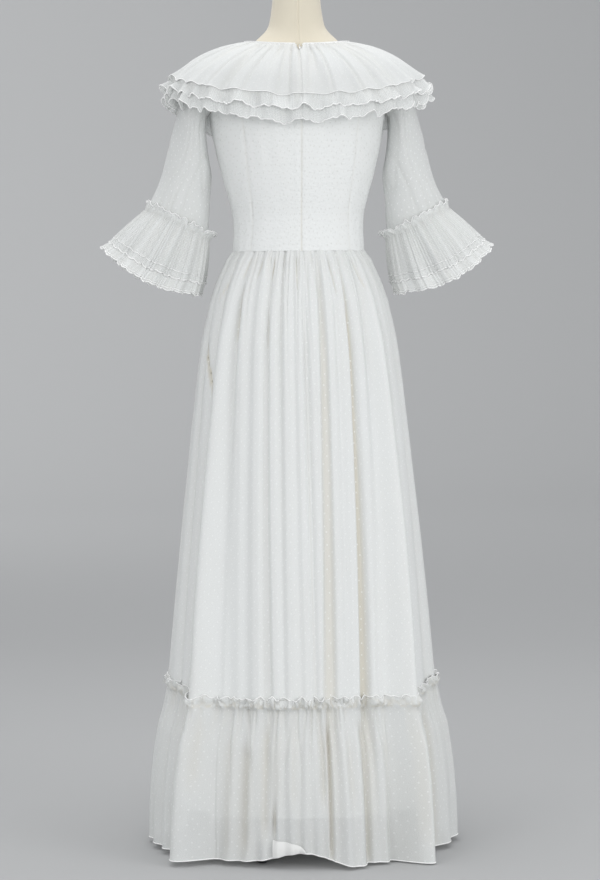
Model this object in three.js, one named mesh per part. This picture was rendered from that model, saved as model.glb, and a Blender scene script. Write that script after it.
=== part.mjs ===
// A full-length gown of sheer dotted cotton on a limbless dress form with a rolling stand.
// Millimetres, +Z up. The wearer faces -Y, so the back with its zip faces +Y.
// Angles round the body start at the centre back and grow towards the wearer's right, -X.
import * as THREE from "three";

// ---- Driving dimensions --------------------------------------------------------------------

const CLOTH = 1.2; // thickness of a cloth wall
const SEAM = 0.3; // gap between two pieces at a seam
const WAIST_Z = 1055;
const STITCH_Z = 288; // where the flounce is stitched to the skirt
const HEADING = 16; // how far the flounce's gathered heading stands above its stitch line
const HEM_Z = 10;
const LINING_HEM_Z = 80;
const COLUMNS_PER_FOLD = 4;
const WHEEL_RADIUS = 17;
const WHEEL_SIDES = 24;
const WHEEL_WIDTH = 16;
const CASTER_REACH = 195; // from the pole's axis to a caster's swivel axis
const CASTER_TRAIL = 12; // from the swivel axis to the wheel's axle
const CASTER_ANGLES = [-24, 66, 156, 246];
const LEG_END_Z = 58;
const POLE_RADIUS = 14;
const HUB_RADIUS = 28;
const HUB_Z = [70, 104];

const WHITE_CHIFFON = { color: 0xf4f3ee, roughness: 0.85, metalness: 0 };
const LINING_CLOTH = { color: 0xeeede6, roughness: 0.8, metalness: 0 };
const FORM_JERSEY = { color: 0xe9dfc8, roughness: 0.8, metalness: 0 };
const STEEL = { color: 0x8b8d90, roughness: 0.35, metalness: 0.9 };
const BRASS = { color: 0xb89a62, roughness: 0.35, metalness: 0.9 };
const BLACK_RUBBER = { color: 0x26272a, roughness: 0.7, metalness: 0 };

// Rings of the body, from the waist up. Each has its half width, its depth behind and in front
// of the axis, and its height at the side, the back and the front.
const ring = (side, back, front, zSide, zBack = zSide, zFront = zSide) => ({
  side, back, front, zSide, zBack, zFront,
});

const BODICE = [
  ring(117, 84, 92, WAIST_Z),
  ring(115.5, 86, 97, 1110),
  ring(124, 93, 107, 1150),
  ring(137, 101, 124, 1200),
  ring(148.5, 106, 130, 1250),
  ring(156, 107, 128, 1292, 1290, 1268),
  ring(163, 105, 122, 1345, 1332, 1290),
  ring(158, 99, 113, 1388, 1366, 1312),
  ring(130, 85, 104, 1408, 1392, 1330),
  ring(92, 62, 94, 1419, 1411, 1343),
];

const COLLAR = [
  ring(94, 64, 96, 1423.5, 1416, 1347.5),
  ring(137, 93, 114, 1414, 1393, 1334),
  ring(182, 113, 130, 1393, 1362, 1305),
  ring(224, 124, 143, 1360, 1325, 1268),
];
const UPPER_FRILL_EDGE = ring(233, 131, 151, 1341, 1303, 1247);
const LOWER_FRILL_EDGE = ring(232, 130, 151, 1322, 1283, 1228);

const FORM = [
  ring(147, 108, 103, 850),
  ring(136, 97, 96, 930),
  ring(119, 86, 88, 990),
  ring(107, 75, 83, 1055),
  ring(108, 78, 90, 1110),
  ring(122, 90, 110, 1180),
  ring(137, 97, 120, 1250),
  ring(145, 98, 117, 1300, 1296, 1275),
  ring(149, 96, 109, 1348, 1335, 1300),
  ring(143, 90, 94, 1380, 1366, 1325),
  ring(119, 76, 78, 1398, 1389, 1350),
  ring(91, 58, 68, 1411, 1406, 1378),
  ring(68, 48, 54, 1430, 1424, 1408),
  ring(52, 43, 46, 1447, 1441, 1434),
  ring(46, 41, 43, 1468, 1465, 1462),
  ring(42, 40, 41, 1500),
  ring(42, 40, 41, 1518),
];
const NECK_CAP = { radius: 38, thickness: 4 };

// The skirt's outline over its folds, from the waist down.
const SKIRT = [
  { z: WAIST_Z - SEAM, side: 117, back: 84, front: 92 },
  { z: 1040, side: 129, back: 93, front: 99 },
  { z: 1004, side: 146, back: 107, front: 109 },
  { z: 969, side: 159, back: 119, front: 118 },
  { z: 898, side: 174.5, back: 137, front: 132 },
  { z: 826, side: 184.5, back: 150, front: 144 },
  { z: 719, side: 197, back: 166, front: 158 },
  { z: 576, side: 213, back: 186, front: 177 },
  { z: 432, side: 228, back: 204, front: 196 },
  { z: STITCH_Z, side: 241.5, back: 221, front: 213 },
];
const SKIRT_ROWS = [WAIST_Z - SEAM, 1030, 985, 905, 760, 540, STITCH_Z];

// The flounce's outline below its stitch line.
const FLOUNCE = [
  { z: STITCH_Z, side: 244, back: 223.5, front: 215.5 },
  { z: 252, side: 251, back: 229, front: 222 },
  { z: 216, side: 261.5, back: 236, front: 230 },
  { z: 143, side: 270, back: 243, front: 238 },
  { z: 71, side: 274.5, back: 246, front: 243 },
  { z: HEM_Z, side: 276, back: 248, front: 246 },
];
const FLOUNCE_ROWS = [STITCH_Z + HEADING, STITCH_Z, 236, 130, HEM_Z];
const FLOUNCE_LIFT = 3.4; // from the skirt's outside to the flounce's, at the stitch line
const FLOUNCE_WAVE = 12; // depth of its gathers at the hem
const FLOUNCE_COLUMNS_PER_WAVE = 3;
const HEADING_FLARE = { plain: 1.5, wave: 4 }; // how far the heading's top stands out
const FOLD_FADE = 1.2; // how soon the skirt's folds die out down the flounce
const SWELL_GROWTH = 1.25; // from the stitch line to the hem
// Where the hem is caught up or hangs lower, and how far it stands out there.
const HEM_PLACES = [
  { angle: -4, width: 12, up: 17, out: 0 },
  { angle: 13, width: 7, up: -5, out: 26 },
  { angle: 36, width: 17, up: -7, out: 8 },
];

const LINING = [
  { z: WAIST_Z - 2, side: 112, back: 79, front: 87 },
  { z: 969, side: 138, back: 98, front: 100 },
  { z: 850, side: 156, back: 118, front: 117 },
  { z: 576, side: 188, back: 160, front: 152 },
  { z: STITCH_Z, side: 214, back: 194, front: 188 },
  { z: LINING_HEM_Z, side: 236, back: 214, front: 210 },
];
const LINING_COLUMNS = 36; // all round, from the centre back

// The valleys between the skirt's folds: degrees at the waist and at the stitch line, and
// depth in millimetres at the hip and at the stitch line, below 0 where it lies outside the
// outline. Where the fold after a valley stands out from the skirt, swell says how far at the
// stitch line.
const FOLDS = [
  { top: 0, low: 2, hip: 8, hem: 4 }, // centre back seam
  { top: 12, low: 8, hip: 14, hem: 16 },
  { top: 21, low: 15.5, hip: 4, hem: 3 },
  { top: 30, low: 23, hip: 12, hem: 20, swell: 9 },
  { top: 43, low: 30, hip: 8, hem: -12, swell: 50 },
  { top: 58, low: 47, hip: 10, hem: 9 },
  { top: 74, low: 66, hip: 7, hem: 8 },
  { top: 90, low: 88, hip: 5, hem: 5 }, // right side seam
  { top: 104, low: 103, hip: 8, hem: 10 },
  { top: 118, low: 117, hip: 10, hem: 12 },
  { top: 133, low: 131, hip: 7, hem: 8 },
  { top: 148, low: 147, hip: 11, hem: 14 },
  { top: 164, low: 163, hip: 8, hem: 9 },
  { top: 180, low: 180, hip: 9, hem: 12 },
  { top: 196, low: 198, hip: 7, hem: 8 },
  { top: 212, low: 214, hip: 11, hem: 13 },
  { top: 228, low: 230, hip: 8, hem: 9 },
  { top: 243, low: 244, hip: 10, hem: 12 },
  { top: 257, low: 258, hip: 7, hem: 9 },
  { top: 270, low: 272, hip: 6, hem: 5 }, // left side seam, with the pocket
  { top: 284, low: 290, hip: 8, hem: 8 },
  { top: 299, low: 303.5, hip: 5, hem: 9, swell: 42 },
  { top: 315, low: 322.5, hip: 9, hem: -6 },
  { top: 326, low: 333, hip: 4, hem: 4 },
  { top: 336, low: 342, hip: 9, hem: 9 },
  { top: 345, low: 349, hip: 7, hem: 4 },
  { top: 353, low: 356, hip: 4, hem: 3 },
];
const GATHER_DEPTH = 2.5; // depth of every fold at the waist seam
const HIP_SHARE = 0.2; // how far down the skirt a fold reaches its hip depth
const VALLEY_SHARPNESS = 1.5; // 1 for a plain wave, more for a narrower valley
const RIGHT_SEAM_FOLD = 7;
const LEFT_SEAM_FOLD = 19;

// The bodice's princess seam, in degrees from the centre, at rising steps to the armhole.
const PRINCESS_SEAM = [48.5, 46.5, 44.5, 42.5, 41, 43, 56];
const ARMHOLE = { angle: 34, middle: 6.35, reach: 1.3 }; // degrees, then steps of BODICE
const SHOULDER_STEPS = [6.8, 7.25, 7.65, 8.3, 9]; // rows of the panels above the armhole's middle

// Rings down the sleeve on the wearer's left, below its armhole: the point on its outer edge,
// the point underneath, the middle's Y and half the depth, and on a cuff how far its back and
// front sag.
const SLEEVE = [
  { outX: 178, outZ: 1384, underX: 160.5, underZ: 1290, y: -4, depth: 58 },
  { outX: 200, outZ: 1345, underX: 161, underZ: 1264, y: -5, depth: 56 },
  { outX: 213, outZ: 1290, underX: 158, underZ: 1226, y: -6, depth: 53 },
  { outX: 227, outZ: 1240, underX: 153, underZ: 1193, y: -8, depth: 52 },
  { outX: 243, outZ: 1187, underX: 155, underZ: 1154, y: -10, depth: 52 },
  { outX: 257, outZ: 1152, underX: 156, underZ: 1112, y: -11, depth: 53 },
  { outX: 268, outZ: 1130, underX: 159, underZ: 1076, y: -12, depth: 54 },
];
const SLEEVE_COLUMNS = 20;
const SLEEVE_LIFT = 0.6; // how far the sleeve head stands off the armhole's edge
const CUFF_WAVES = 12;
const CUFF_GAP = 2; // from the sleeve's end out to the cuff's stitch line
const CUFF_HEADING = { up: 9, flare: 3.5, wave: 2 };
const CUFF_EDGE = { outX: 331, outZ: 1073, underX: 165, underZ: 1001, y: -16, depth: 78, sag: 15 };
const CUFF_WAVE = 5;
const UNDERFRILL_EDGE = { outX: 346, outZ: 1064, underX: 172, underZ: 980, y: -18, depth: 84, sag: 20 };
const UNDERFRILL_INSET = 4; // inside the cuff, so that the two waves nest
const UNDERFRILL_DROP = 2; // from the sleeve's end down to the frill's top

const COLLAR_WAVES = 24;
const COLLAR_WAVE = 4; // depth at the collar's edge
const COLLAR_SLIT = [9, 1.5]; // width at the neck and at the edge
const RUFFLE_RISE = 0.5; // how steeply a ruffle faces up, against outwards
const FRILL_TUCK = 0.8; // how far a frill is pushed in under the collar, as a share of its drop
// Each frill starts under a step of the collar by its drop, and its waves have a depth at its edge.
const UPPER_FRILL = { fromStep: 3, edge: UPPER_FRILL_EDGE, drop: CLOTH + SEAM, depth: 4 };
const LOWER_FRILL = { fromStep: 2.9, edge: LOWER_FRILL_EDGE, drop: 3.4, depth: 7 };
const BINDING = { height: 2.6, thickness: 2, gap: 0.5, slit: 11, columns: 32 };

// How far down the slope from the neckline each starts, and how far it lies off what is under it.
const SLIDER = { width: 5.5, length: 10, height: 3.4, down: 1, lift: 0.8 };
const PULL = { width: 4.2, length: 13, height: 1.1, down: 2, lift: 0.4 };

// ---- Helpers -------------------------------------------------------------------------------

const lerp = THREE.MathUtils.lerp;
const radians = THREE.MathUtils.degToRad;
const gown = new THREE.Group();

function add(name, geometry, finish) {
  const mesh = new THREE.Mesh(geometry, new THREE.MeshStandardMaterial(finish));
  mesh.name = name;
  gown.add(mesh);
  return mesh;
}

// Smooth steps between the rows of a table, at a row number that need not be whole.
function between(table, step) {
  const last = table.length - 1;
  const i = Math.min(Math.max(Math.floor(step), 0), last - 1);
  const t = step - i;
  const row = {};
  for (const key of Object.keys(table[0])) {
    const p1 = table[i][key];
    const p2 = table[i + 1][key];
    const p0 = i > 0 ? table[i - 1][key] : 2 * p1 - p2;
    const p3 = i + 2 <= last ? table[i + 2][key] : 2 * p2 - p1;
    const bend = 2 * p0 - 5 * p1 + 4 * p2 - p3;
    const turn = 3 * p1 - 3 * p2 + p3 - p0;
    row[key] = p1 + (t * (p2 - p0 + t * (bend + t * turn))) / 2;
  }
  return row;
}

// The row number at which a table that falls from the waist down has the height z.
function stepAt(table, z) {
  let i = 0;
  while (i < table.length - 2 && table[i + 1].z > z) i++;
  return i + (table[i].z - z) / (table[i].z - table[i + 1].z);
}

function ringPoint(r, angle) {
  const s = Math.sin(angle);
  const c = Math.cos(angle);
  const depth = c > 0 ? r.back : r.front;
  const zMiddle = c > 0 ? r.zBack : r.zFront;
  return new THREE.Vector3(-r.side * s, depth * c, lerp(r.zSide, zMiddle, c * c));
}

// A point on an outline row {side, back, front}, pulled in towards the axis by inset.
function outlinePoint(row, angle, inset, z) {
  const s = Math.sin(angle);
  const c = Math.cos(angle);
  const depth = c > 0 ? row.back : row.front;
  const reach = Math.hypot(row.side * s, depth * c);
  const keep = 1 - inset / reach;
  return new THREE.Vector3(-row.side * s * keep, depth * c * keep, z);
}

// A closed cloth wall over a grid. at(column, row) gives its outer face for any column and row,
// also between whole ones, and the columns, the rows and the outside make a right-handed set
// unless turned is true.
function wall(at, { columns, rows, closed = false, turned = false, thickness = CLOTH, gap = 0 }) {
  const outer = [];
  const inner = [];
  const side = turned ? -1 : 1;
  const count = closed ? columns.length - 1 : columns.length;
  for (let j = 0; j < rows.length; j++) {
    for (let i = 0; i < count; i++) {
      const width = Array.isArray(gap) ? lerp(gap[0], gap[1], j / (rows.length - 1)) : gap;
      let column = columns[i];
      if (!closed && (i === 0 || i === count - 1)) {
        const stride = at(column + 0.5, rows[j]).distanceTo(at(column - 0.5, rows[j]));
        column += ((i === 0 ? 1 : -1) * width) / 2 / stride;
      }
      const below = Math.max(rows[j] - 0.5, rows[0]);
      const above = Math.min(rows[j] + 0.5, rows[rows.length - 1]);
      const along = at(column + 0.5, rows[j]).sub(at(column - 0.5, rows[j]));
      const up = at(column, above).sub(at(column, below));
      const normal = along.cross(up).normalize().multiplyScalar(side * thickness);
      const point = at(column, rows[j]);
      outer.push(point);
      inner.push(point.clone().sub(normal));
    }
  }
  const index = [];
  const total = outer.length;
  const quad = (a, b, c, d) =>
    turned ? index.push(a, c, b, a, d, c) : index.push(a, b, c, a, c, d);
  for (let j = 0; j < rows.length; j++) {
    for (let i = 0; i < columns.length - 1; i++) {
      const a = j * count + i;
      const b = j * count + ((i + 1) % count);
      if (j < rows.length - 1) {
        quad(a, b, b + count, a + count);
        quad(a + total, a + total + count, b + total + count, b + total);
      }
      if (j === 0) quad(a + total, b + total, b, a);
      if (j === rows.length - 1) quad(a, b, b + total, a + total);
    }
    if (!closed && j < rows.length - 1) {
      const a = j * count;
      const b = a + count - 1;
      quad(a, a + count, a + count + total, a + total);
      quad(b + count, b, b + total, b + count + total);
    }
  }
  const geometry = new THREE.BufferGeometry().setFromPoints([...outer, ...inner]);
  geometry.setIndex(index);
  geometry.computeVertexNormals();
  return geometry;
}

const steps = (from, to, count) =>
  Array.from({ length: count + 1 }, (_, i) => lerp(from, to, i / count));

// A closed solid through rings of points, capped flat at both ends.
function solidOfRings(rings) {
  const count = rings[0].length;
  const points = rings.flat();
  const index = [];
  for (let j = 0; j < rings.length - 1; j++) {
    for (let i = 0; i < count; i++) {
      const a = j * count + i;
      const b = j * count + ((i + 1) % count);
      index.push(a, b, b + count, a, b + count, a + count);
    }
  }
  const top = (rings.length - 1) * count;
  for (let i = 1; i < count - 1; i++) {
    index.push(0, i + 1, i);
    index.push(top, top + i, top + i + 1);
  }
  const geometry = new THREE.BufferGeometry().setFromPoints(points);
  geometry.setIndex(index);
  geometry.computeVertexNormals();
  return geometry;
}

// The same geometry on the other side of the body.
function mirrored(geometry) {
  const copy = geometry.clone().scale(-1, 1, 1);
  const index = copy.getIndex();
  for (let i = 0; i < index.count; i += 3) {
    const second = index.getX(i + 1);
    index.setX(i + 1, index.getX(i + 2));
    index.setX(i + 2, second);
  }
  copy.computeVertexNormals();
  return copy;
}

// ---- Bodice --------------------------------------------------------------------------------

const bodicePoint = (degrees, step) => ringPoint(between(BODICE, step), radians(degrees));

// The seam's angle at a step: the princess seam up to the armhole, then the armhole's edge,
// then the shoulder seam.
function seamAngle(step) {
  if (step <= ARMHOLE.middle) {
    const place = (step / ARMHOLE.middle) * (PRINCESS_SEAM.length - 1);
    const rows = PRINCESS_SEAM.map((angle) => ({ angle }));
    return between(rows, place).angle;
  }
  const rise = (step - ARMHOLE.middle) / ARMHOLE.reach;
  return rise < 1 ? 90 - ARMHOLE.angle * Math.sqrt(1 - rise * rise) : 90;
}

// The step at which a side panel, a given share of the way to the side seam, meets the armhole.
function armholeStep(share) {
  let low = 0;
  let high = ARMHOLE.middle;
  while (high - low > 1e-6) {
    const step = (low + high) / 2;
    const across = (90 - lerp(seamAngle(step), 90, share)) / ARMHOLE.angle;
    const up = (step - ARMHOLE.middle) / ARMHOLE.reach;
    if (across * across + up * up > 1) low = step;
    else high = step;
  }
  return low;
}

const PANEL_BANDS = 6; // rows of every bodice panel up to the armhole's middle
const BACK_COLUMNS = 4;
const SIDE_COLUMNS = 3;
const PANEL_SPREAD = 45; // degrees for a side panel's width, where it is carried past its edges

// A panel that runs from the waist up to the neckline. angleAt gives its angle at a share of the
// way across.
function centrePanel(name, columns, angleAt) {
  const lower = steps(0, ARMHOLE.middle, PANEL_BANDS);
  const levels = [...lower, ...SHOULDER_STEPS];
  const level = (row) => between(levels.map((v) => ({ v })), row).v;
  const at = (column, row) => {
    const step = level(row);
    return bodicePoint(angleAt(column / columns, step), step);
  };
  const geometry = wall(at, {
    columns: steps(0, columns, columns),
    rows: levels.map((_, i) => i),
    gap: SEAM,
  });
  add(name, geometry, WHITE_CHIFFON);
}

// A side panel on the wearer's right, from the princess seam to the side seam, up to the armhole.
function sidePanel(columns, isFront) {
  const at = (column, row) => {
    const share = Math.min(Math.max(column / columns, 0), 1);
    const toSeam = isFront ? 1 - share : share;
    const step = (armholeStep(toSeam) * row) / PANEL_BANDS;
    const outside = column / columns - share;
    const angle = lerp(seamAngle(step), 90, toSeam);
    return bodicePoint((isFront ? 180 - angle : angle) + outside * PANEL_SPREAD, step);
  };
  return wall(at, {
    columns: steps(0, columns, columns),
    rows: steps(0, PANEL_BANDS, PANEL_BANDS),
    gap: SEAM,
  });
}

centrePanel("bodice_back_right", BACK_COLUMNS, (share, step) => seamAngle(step) * share);
centrePanel("bodice_back_left", BACK_COLUMNS, (share, step) => seamAngle(step) * (share - 1));
centrePanel("bodice_front", 2 * BACK_COLUMNS, (share, step) =>
  lerp(180 - seamAngle(step), 180 + seamAngle(step), share));
for (const [name, isFront] of [["bodice_side_back", false], ["bodice_side_front", true]]) {
  const panel = sidePanel(SIDE_COLUMNS, isFront);
  add(name + "_right", panel, WHITE_CHIFFON);
  add(name + "_left", mirrored(panel), WHITE_CHIFFON);
}

// ---- Skirt, flounce and lining -------------------------------------------------------------

const FOLD_COUNT = FOLDS.length;
const foldAngle = (k, share) => {
  const turns = Math.floor(k / FOLD_COUNT);
  const fold = FOLDS[k - turns * FOLD_COUNT];
  return lerp(fold.top, fold.low, share) + 360 * turns;
};

function foldDepth(k, share) {
  const fold = FOLDS[((k % FOLD_COUNT) + FOLD_COUNT) % FOLD_COUNT];
  if (share < HIP_SHARE) return lerp(GATHER_DEPTH, fold.hip, share / HIP_SHARE);
  return lerp(fold.hip, fold.hem, (share - HIP_SHARE) / (1 - HIP_SHARE));
}

// Where a place counted in folds lies: its angle and how deep it sits below the outline.
function foldPlace(place, z) {
  const share = Math.min(Math.max((WAIST_Z - z) / (WAIST_Z - STITCH_Z), 0), 1);
  const k = Math.floor(place);
  const part = place - k;
  const angle = lerp(foldAngle(k, share), foldAngle(k + 1, share), part);
  const nearest = part < 0.5 ? k : k + 1;
  const valley = Math.pow((1 + Math.cos(2 * Math.PI * part)) / 2, VALLEY_SHARPNESS);
  const ridge = (1 - Math.cos(2 * Math.PI * part)) / 2;
  const swell = (FOLDS[k - FOLD_COUNT * Math.floor(k / FOLD_COUNT)].swell || 0) * ridge * share;
  return { angle: radians(angle), depth: foldDepth(nearest, share) * valley, swell };
}

function skirtPoint(place, z, outset = 0) {
  const { angle, depth, swell } = foldPlace(place, z);
  return outlinePoint(between(SKIRT, stepAt(SKIRT, z)), angle, depth - swell - outset, z);
}

function panelAcross(name, fromFold, toFold, rows, at, finish, turned) {
  const first = fromFold * COLUMNS_PER_FOLD;
  const last = toFold * COLUMNS_PER_FOLD;
  const geometry = wall((column, row) => at(column / COLUMNS_PER_FOLD, row), {
    columns: steps(first, last, last - first),
    rows: rows.map((_, i) => i),
    turned,
    gap: SEAM,
  });
  add(name, geometry, finish);
}

// Rows run from the top down, so the walls are turned.
function levelAt(rows, row) {
  return between(rows.map((z) => ({ z })), row).z;
}

const skirtAt = (place, row) => {
  const whole = Math.round(row);
  const z = Math.abs(row - whole) < 1e-9 ? SKIRT_ROWS[whole] : levelAt(SKIRT_ROWS, row);
  return skirtPoint(place, z);
};

function hemShift(angle) {
  const shift = { up: 0, out: 0 };
  for (const place of HEM_PLACES) {
    const off = angle - radians(place.angle);
    const turn = Math.atan2(Math.sin(off), Math.cos(off)) / radians(place.width);
    shift.up += place.up * Math.exp(-turn * turn);
    shift.out += place.out * Math.exp(-turn * turn);
  }
  return shift;
}

// The flounce leaves the skirt's folds at the stitch line and takes its own gathers.
function flouncePoint(place, z) {
  const waves = (place * COLUMNS_PER_FOLD) / FLOUNCE_COLUMNS_PER_WAVE;
  const wave = (1 - Math.cos(2 * Math.PI * waves)) / 2;
  if (z >= STITCH_Z) {
    const rise = (z - STITCH_Z) / HEADING;
    const flare = HEADING_FLARE.plain + HEADING_FLARE.wave * wave;
    return skirtPoint(place, z, FLOUNCE_LIFT + rise * flare);
  }
  const fall = (STITCH_Z - z) / (STITCH_Z - HEM_Z);
  const { angle, depth, swell } = foldPlace(place, STITCH_Z);
  const kept = depth * Math.pow(1 - fall, FOLD_FADE) - swell * lerp(1, SWELL_GROWTH, fall);
  const gather = FLOUNCE_WAVE * wave * Math.sqrt(fall);
  const row = between(FLOUNCE, stepAt(FLOUNCE, z));
  const { up, out } = hemShift(angle);
  return outlinePoint(row, angle, kept + gather - out * fall, z + up * fall * fall);
}

const flounceAt = (place, row) => {
  const whole = Math.round(row);
  const z = Math.abs(row - whole) < 1e-9 ? FLOUNCE_ROWS[whole] : levelAt(FLOUNCE_ROWS, row);
  return flouncePoint(place, z);
};

for (const [name, fromFold, toFold] of [
  ["back_right", 0, RIGHT_SEAM_FOLD],
  ["front", RIGHT_SEAM_FOLD, LEFT_SEAM_FOLD],
  ["back_left", LEFT_SEAM_FOLD, FOLD_COUNT],
]) {
  panelAcross("skirt_" + name, fromFold, toFold, SKIRT_ROWS, skirtAt, WHITE_CHIFFON, true);
  panelAcross("flounce_" + name, fromFold, toFold, FLOUNCE_ROWS, flounceAt, WHITE_CHIFFON, true);
}

const liningAt = (column, row) =>
  outlinePoint(
    between(LINING, row),
    (2 * Math.PI * column) / LINING_COLUMNS,
    0,
    between(LINING, row).z,
  );
for (const [name, from, to] of [
  ["back_right", 0, 0.25],
  ["front", 0.25, 0.75],
  ["back_left", 0.75, 1],
]) {
  const first = from * LINING_COLUMNS;
  const last = to * LINING_COLUMNS;
  const geometry = wall(liningAt, {
    columns: steps(first, last, last - first),
    rows: LINING.map((_, i) => i),
    turned: true,
    gap: SEAM,
  });
  add("lining_" + name, geometry, LINING_CLOTH);
}

// ---- Collar and neck -----------------------------------------------------------------------

const COLLAR_COLUMNS = COLLAR_WAVES * COLUMNS_PER_FOLD;
const collarAngle = (column) => (2 * Math.PI * column) / COLLAR_COLUMNS;
const collarWave = (column) => Math.cos((2 * Math.PI * column) / COLUMNS_PER_FOLD);

// Moves a point of a ruffle out along the way it faces: outwards and up.
function ruffled(point, angle, amount) {
  const out = new THREE.Vector3(-Math.sin(angle), Math.cos(angle), RUFFLE_RISE).normalize();
  return point.addScaledVector(out, amount);
}

function collarPoint(column, step) {
  const share = step / (COLLAR.length - 1);
  const point = ringPoint(between(COLLAR, step), collarAngle(column));
  return ruffled(point, collarAngle(column), COLLAR_WAVE * share * collarWave(column));
}

// A frill hangs from the collar at a step of it, under it by drop, down to its own edge.
function frillPoint(column, share, { fromStep, edge, drop, depth }) {
  const angle = collarAngle(column);
  const root = collarPoint(column, fromStep);
  const end = ringPoint(edge, angle);
  const point = root.lerp(end, share);
  point.z -= drop * (1 - share);
  return ruffled(point, angle, depth * share * collarWave(column) - drop * FRILL_TUCK);
}

function collarWall(name, at, rows) {
  const geometry = wall(at, {
    columns: steps(0, COLLAR_COLUMNS, COLLAR_COLUMNS),
    rows,
    turned: true,
    gap: rows.length > 2 ? COLLAR_SLIT : COLLAR_SLIT[1],
  });
  add(name, geometry, WHITE_CHIFFON);
}

collarWall("collar_ruffle", collarPoint, [0, 1, 2, 3]);
collarWall(
  "collar_frill_upper",
  (column, row) => frillPoint(column, row, UPPER_FRILL),
  [0, 1],
);
collarWall(
  "collar_frill_lower",
  (column, row) => frillPoint(column, row, LOWER_FRILL),
  [0, 1],
);

const NECKLINE = ring(93.5, 63.5, 95.5, COLLAR[0].zSide, COLLAR[0].zBack, COLLAR[0].zFront);
const bindingAt = (column, row) => {
  const point = ringPoint(NECKLINE, (2 * Math.PI * column) / BINDING.columns);
  point.z += BINDING.gap + row * BINDING.height;
  return point;
};
add(
  "neck_binding",
  wall(bindingAt, {
    columns: steps(0, BINDING.columns, BINDING.columns),
    rows: [0, 1],
    thickness: BINDING.thickness,
    gap: BINDING.slit,
  }),
  WHITE_CHIFFON,
);

// ---- Zip -----------------------------------------------------------------------------------

// The slider lies on the slope of the bodice just below the neckline, its tab on top of it.
const neckBack = bodicePoint(0, 9);
const slopeDown = bodicePoint(0, 8).sub(neckBack).normalize();
const slopeOut = new THREE.Vector3(1, 0, 0).cross(slopeDown);
const slope = new THREE.Matrix4().makeBasis(new THREE.Vector3(1, 0, 0), slopeDown, slopeOut);

function onSlope(width, length, height, down, lift) {
  const box = new THREE.BoxGeometry(width, length, height);
  box.translate(0, down + length / 2, lift + height / 2);
  box.applyMatrix4(slope);
  box.translate(neckBack.x, neckBack.y, neckBack.z);
  return box;
}

add("zip_slider", onSlope(SLIDER.width, SLIDER.length, SLIDER.height, SLIDER.down, SLIDER.lift), BRASS);
add(
  "zip_pull",
  onSlope(PULL.width, PULL.length, PULL.height, PULL.down, SLIDER.lift + SLIDER.height + PULL.lift),
  STEEL,
);

// ---- Sleeves and cuffs ---------------------------------------------------------------------

const armholePoint = (angle) => {
  const degrees = -(90 - ARMHOLE.angle * Math.cos(angle));
  const step = ARMHOLE.middle + ARMHOLE.reach * Math.sin(angle);
  const point = bodicePoint(degrees, step);
  const along = bodicePoint(degrees + 1, step).sub(bodicePoint(degrees - 1, step));
  const up = bodicePoint(degrees, step + 0.1).sub(bodicePoint(degrees, step - 0.1));
  return point.addScaledVector(along.cross(up).normalize(), CLOTH + SLEEVE_LIFT);
};

function hoopPoint(hoop, angle, outset = 0) {
  const halfX = (hoop.outX - hoop.underX) / 2;
  const halfZ = (hoop.outZ - hoop.underZ) / 2;
  const half = Math.hypot(halfX, halfZ);
  const grow = 1 + outset / half;
  const sag = ((hoop.sag || 0) * Math.cos(angle) ** 2) / half;
  return new THREE.Vector3(
    (hoop.outX + hoop.underX) / 2 + halfX * grow * Math.sin(angle) + halfZ * sag,
    hoop.y + (hoop.depth + outset) * Math.cos(angle),
    (hoop.outZ + hoop.underZ) / 2 + halfZ * grow * Math.sin(angle) - halfX * sag,
  );
}

const sleeveAt = (column, row) => {
  const angle = (2 * Math.PI * column) / SLEEVE_COLUMNS;
  const head = armholePoint(angle);
  if (row <= 0) return head;
  if (row >= 1) return hoopPoint(between(SLEEVE, row - 1), angle);
  return head.lerp(hoopPoint(SLEEVE[0], angle), row);
};

const CUFF_COLUMNS = CUFF_WAVES * COLUMNS_PER_FOLD;
const cuffAngle = (column) => (2 * Math.PI * column) / CUFF_COLUMNS;
const cuffWave = (column) => Math.cos((2 * Math.PI * column) / COLUMNS_PER_FOLD);
const SLEEVE_END = SLEEVE[SLEEVE.length - 1];

function shiftedHoop(hoop, along) {
  const halfX = hoop.outX - hoop.underX;
  const halfZ = hoop.outZ - hoop.underZ;
  const length = Math.hypot(halfX, halfZ);
  const stepX = (halfZ / length) * along;
  const stepZ = (-halfX / length) * along;
  return {
    ...hoop,
    outX: hoop.outX + stepX,
    outZ: hoop.outZ + stepZ,
    underX: hoop.underX + stepX,
    underZ: hoop.underZ + stepZ,
  };
}

// Rows of the cuff: the top of its gathered heading, its stitch line, its edge.
const cuffAt = (column, row) => {
  const angle = cuffAngle(column);
  const stitch = hoopPoint(SLEEVE_END, angle, CUFF_GAP + CLOTH);
  if (row < 1) {
    const flare = CUFF_HEADING.flare + CUFF_HEADING.wave * cuffWave(column);
    const top = hoopPoint(shiftedHoop(SLEEVE_END, -CUFF_HEADING.up), angle, CUFF_GAP + CLOTH + flare);
    return top.lerp(stitch, Math.max(row, 0));
  }
  const edge = hoopPoint(CUFF_EDGE, angle, CUFF_WAVE * cuffWave(column));
  return stitch.lerp(edge, Math.min(row, 2) - 1);
};

// Rows of the frill under it: at the sleeve's end, at the cuff's edge, its own edge.
const underfrillAt = (column, row) => {
  const angle = cuffAngle(column);
  const root = hoopPoint(shiftedHoop(SLEEVE_END, UNDERFRILL_DROP), angle);
  const middle = hoopPoint(CUFF_EDGE, angle, CUFF_WAVE * cuffWave(column) - UNDERFRILL_INSET);
  if (row < 1) return root.lerp(middle, Math.max(row, 0));
  const edge = hoopPoint(UNDERFRILL_EDGE, angle, CUFF_WAVE * cuffWave(column));
  return middle.lerp(edge, Math.min(row, 2) - 1);
};

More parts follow.
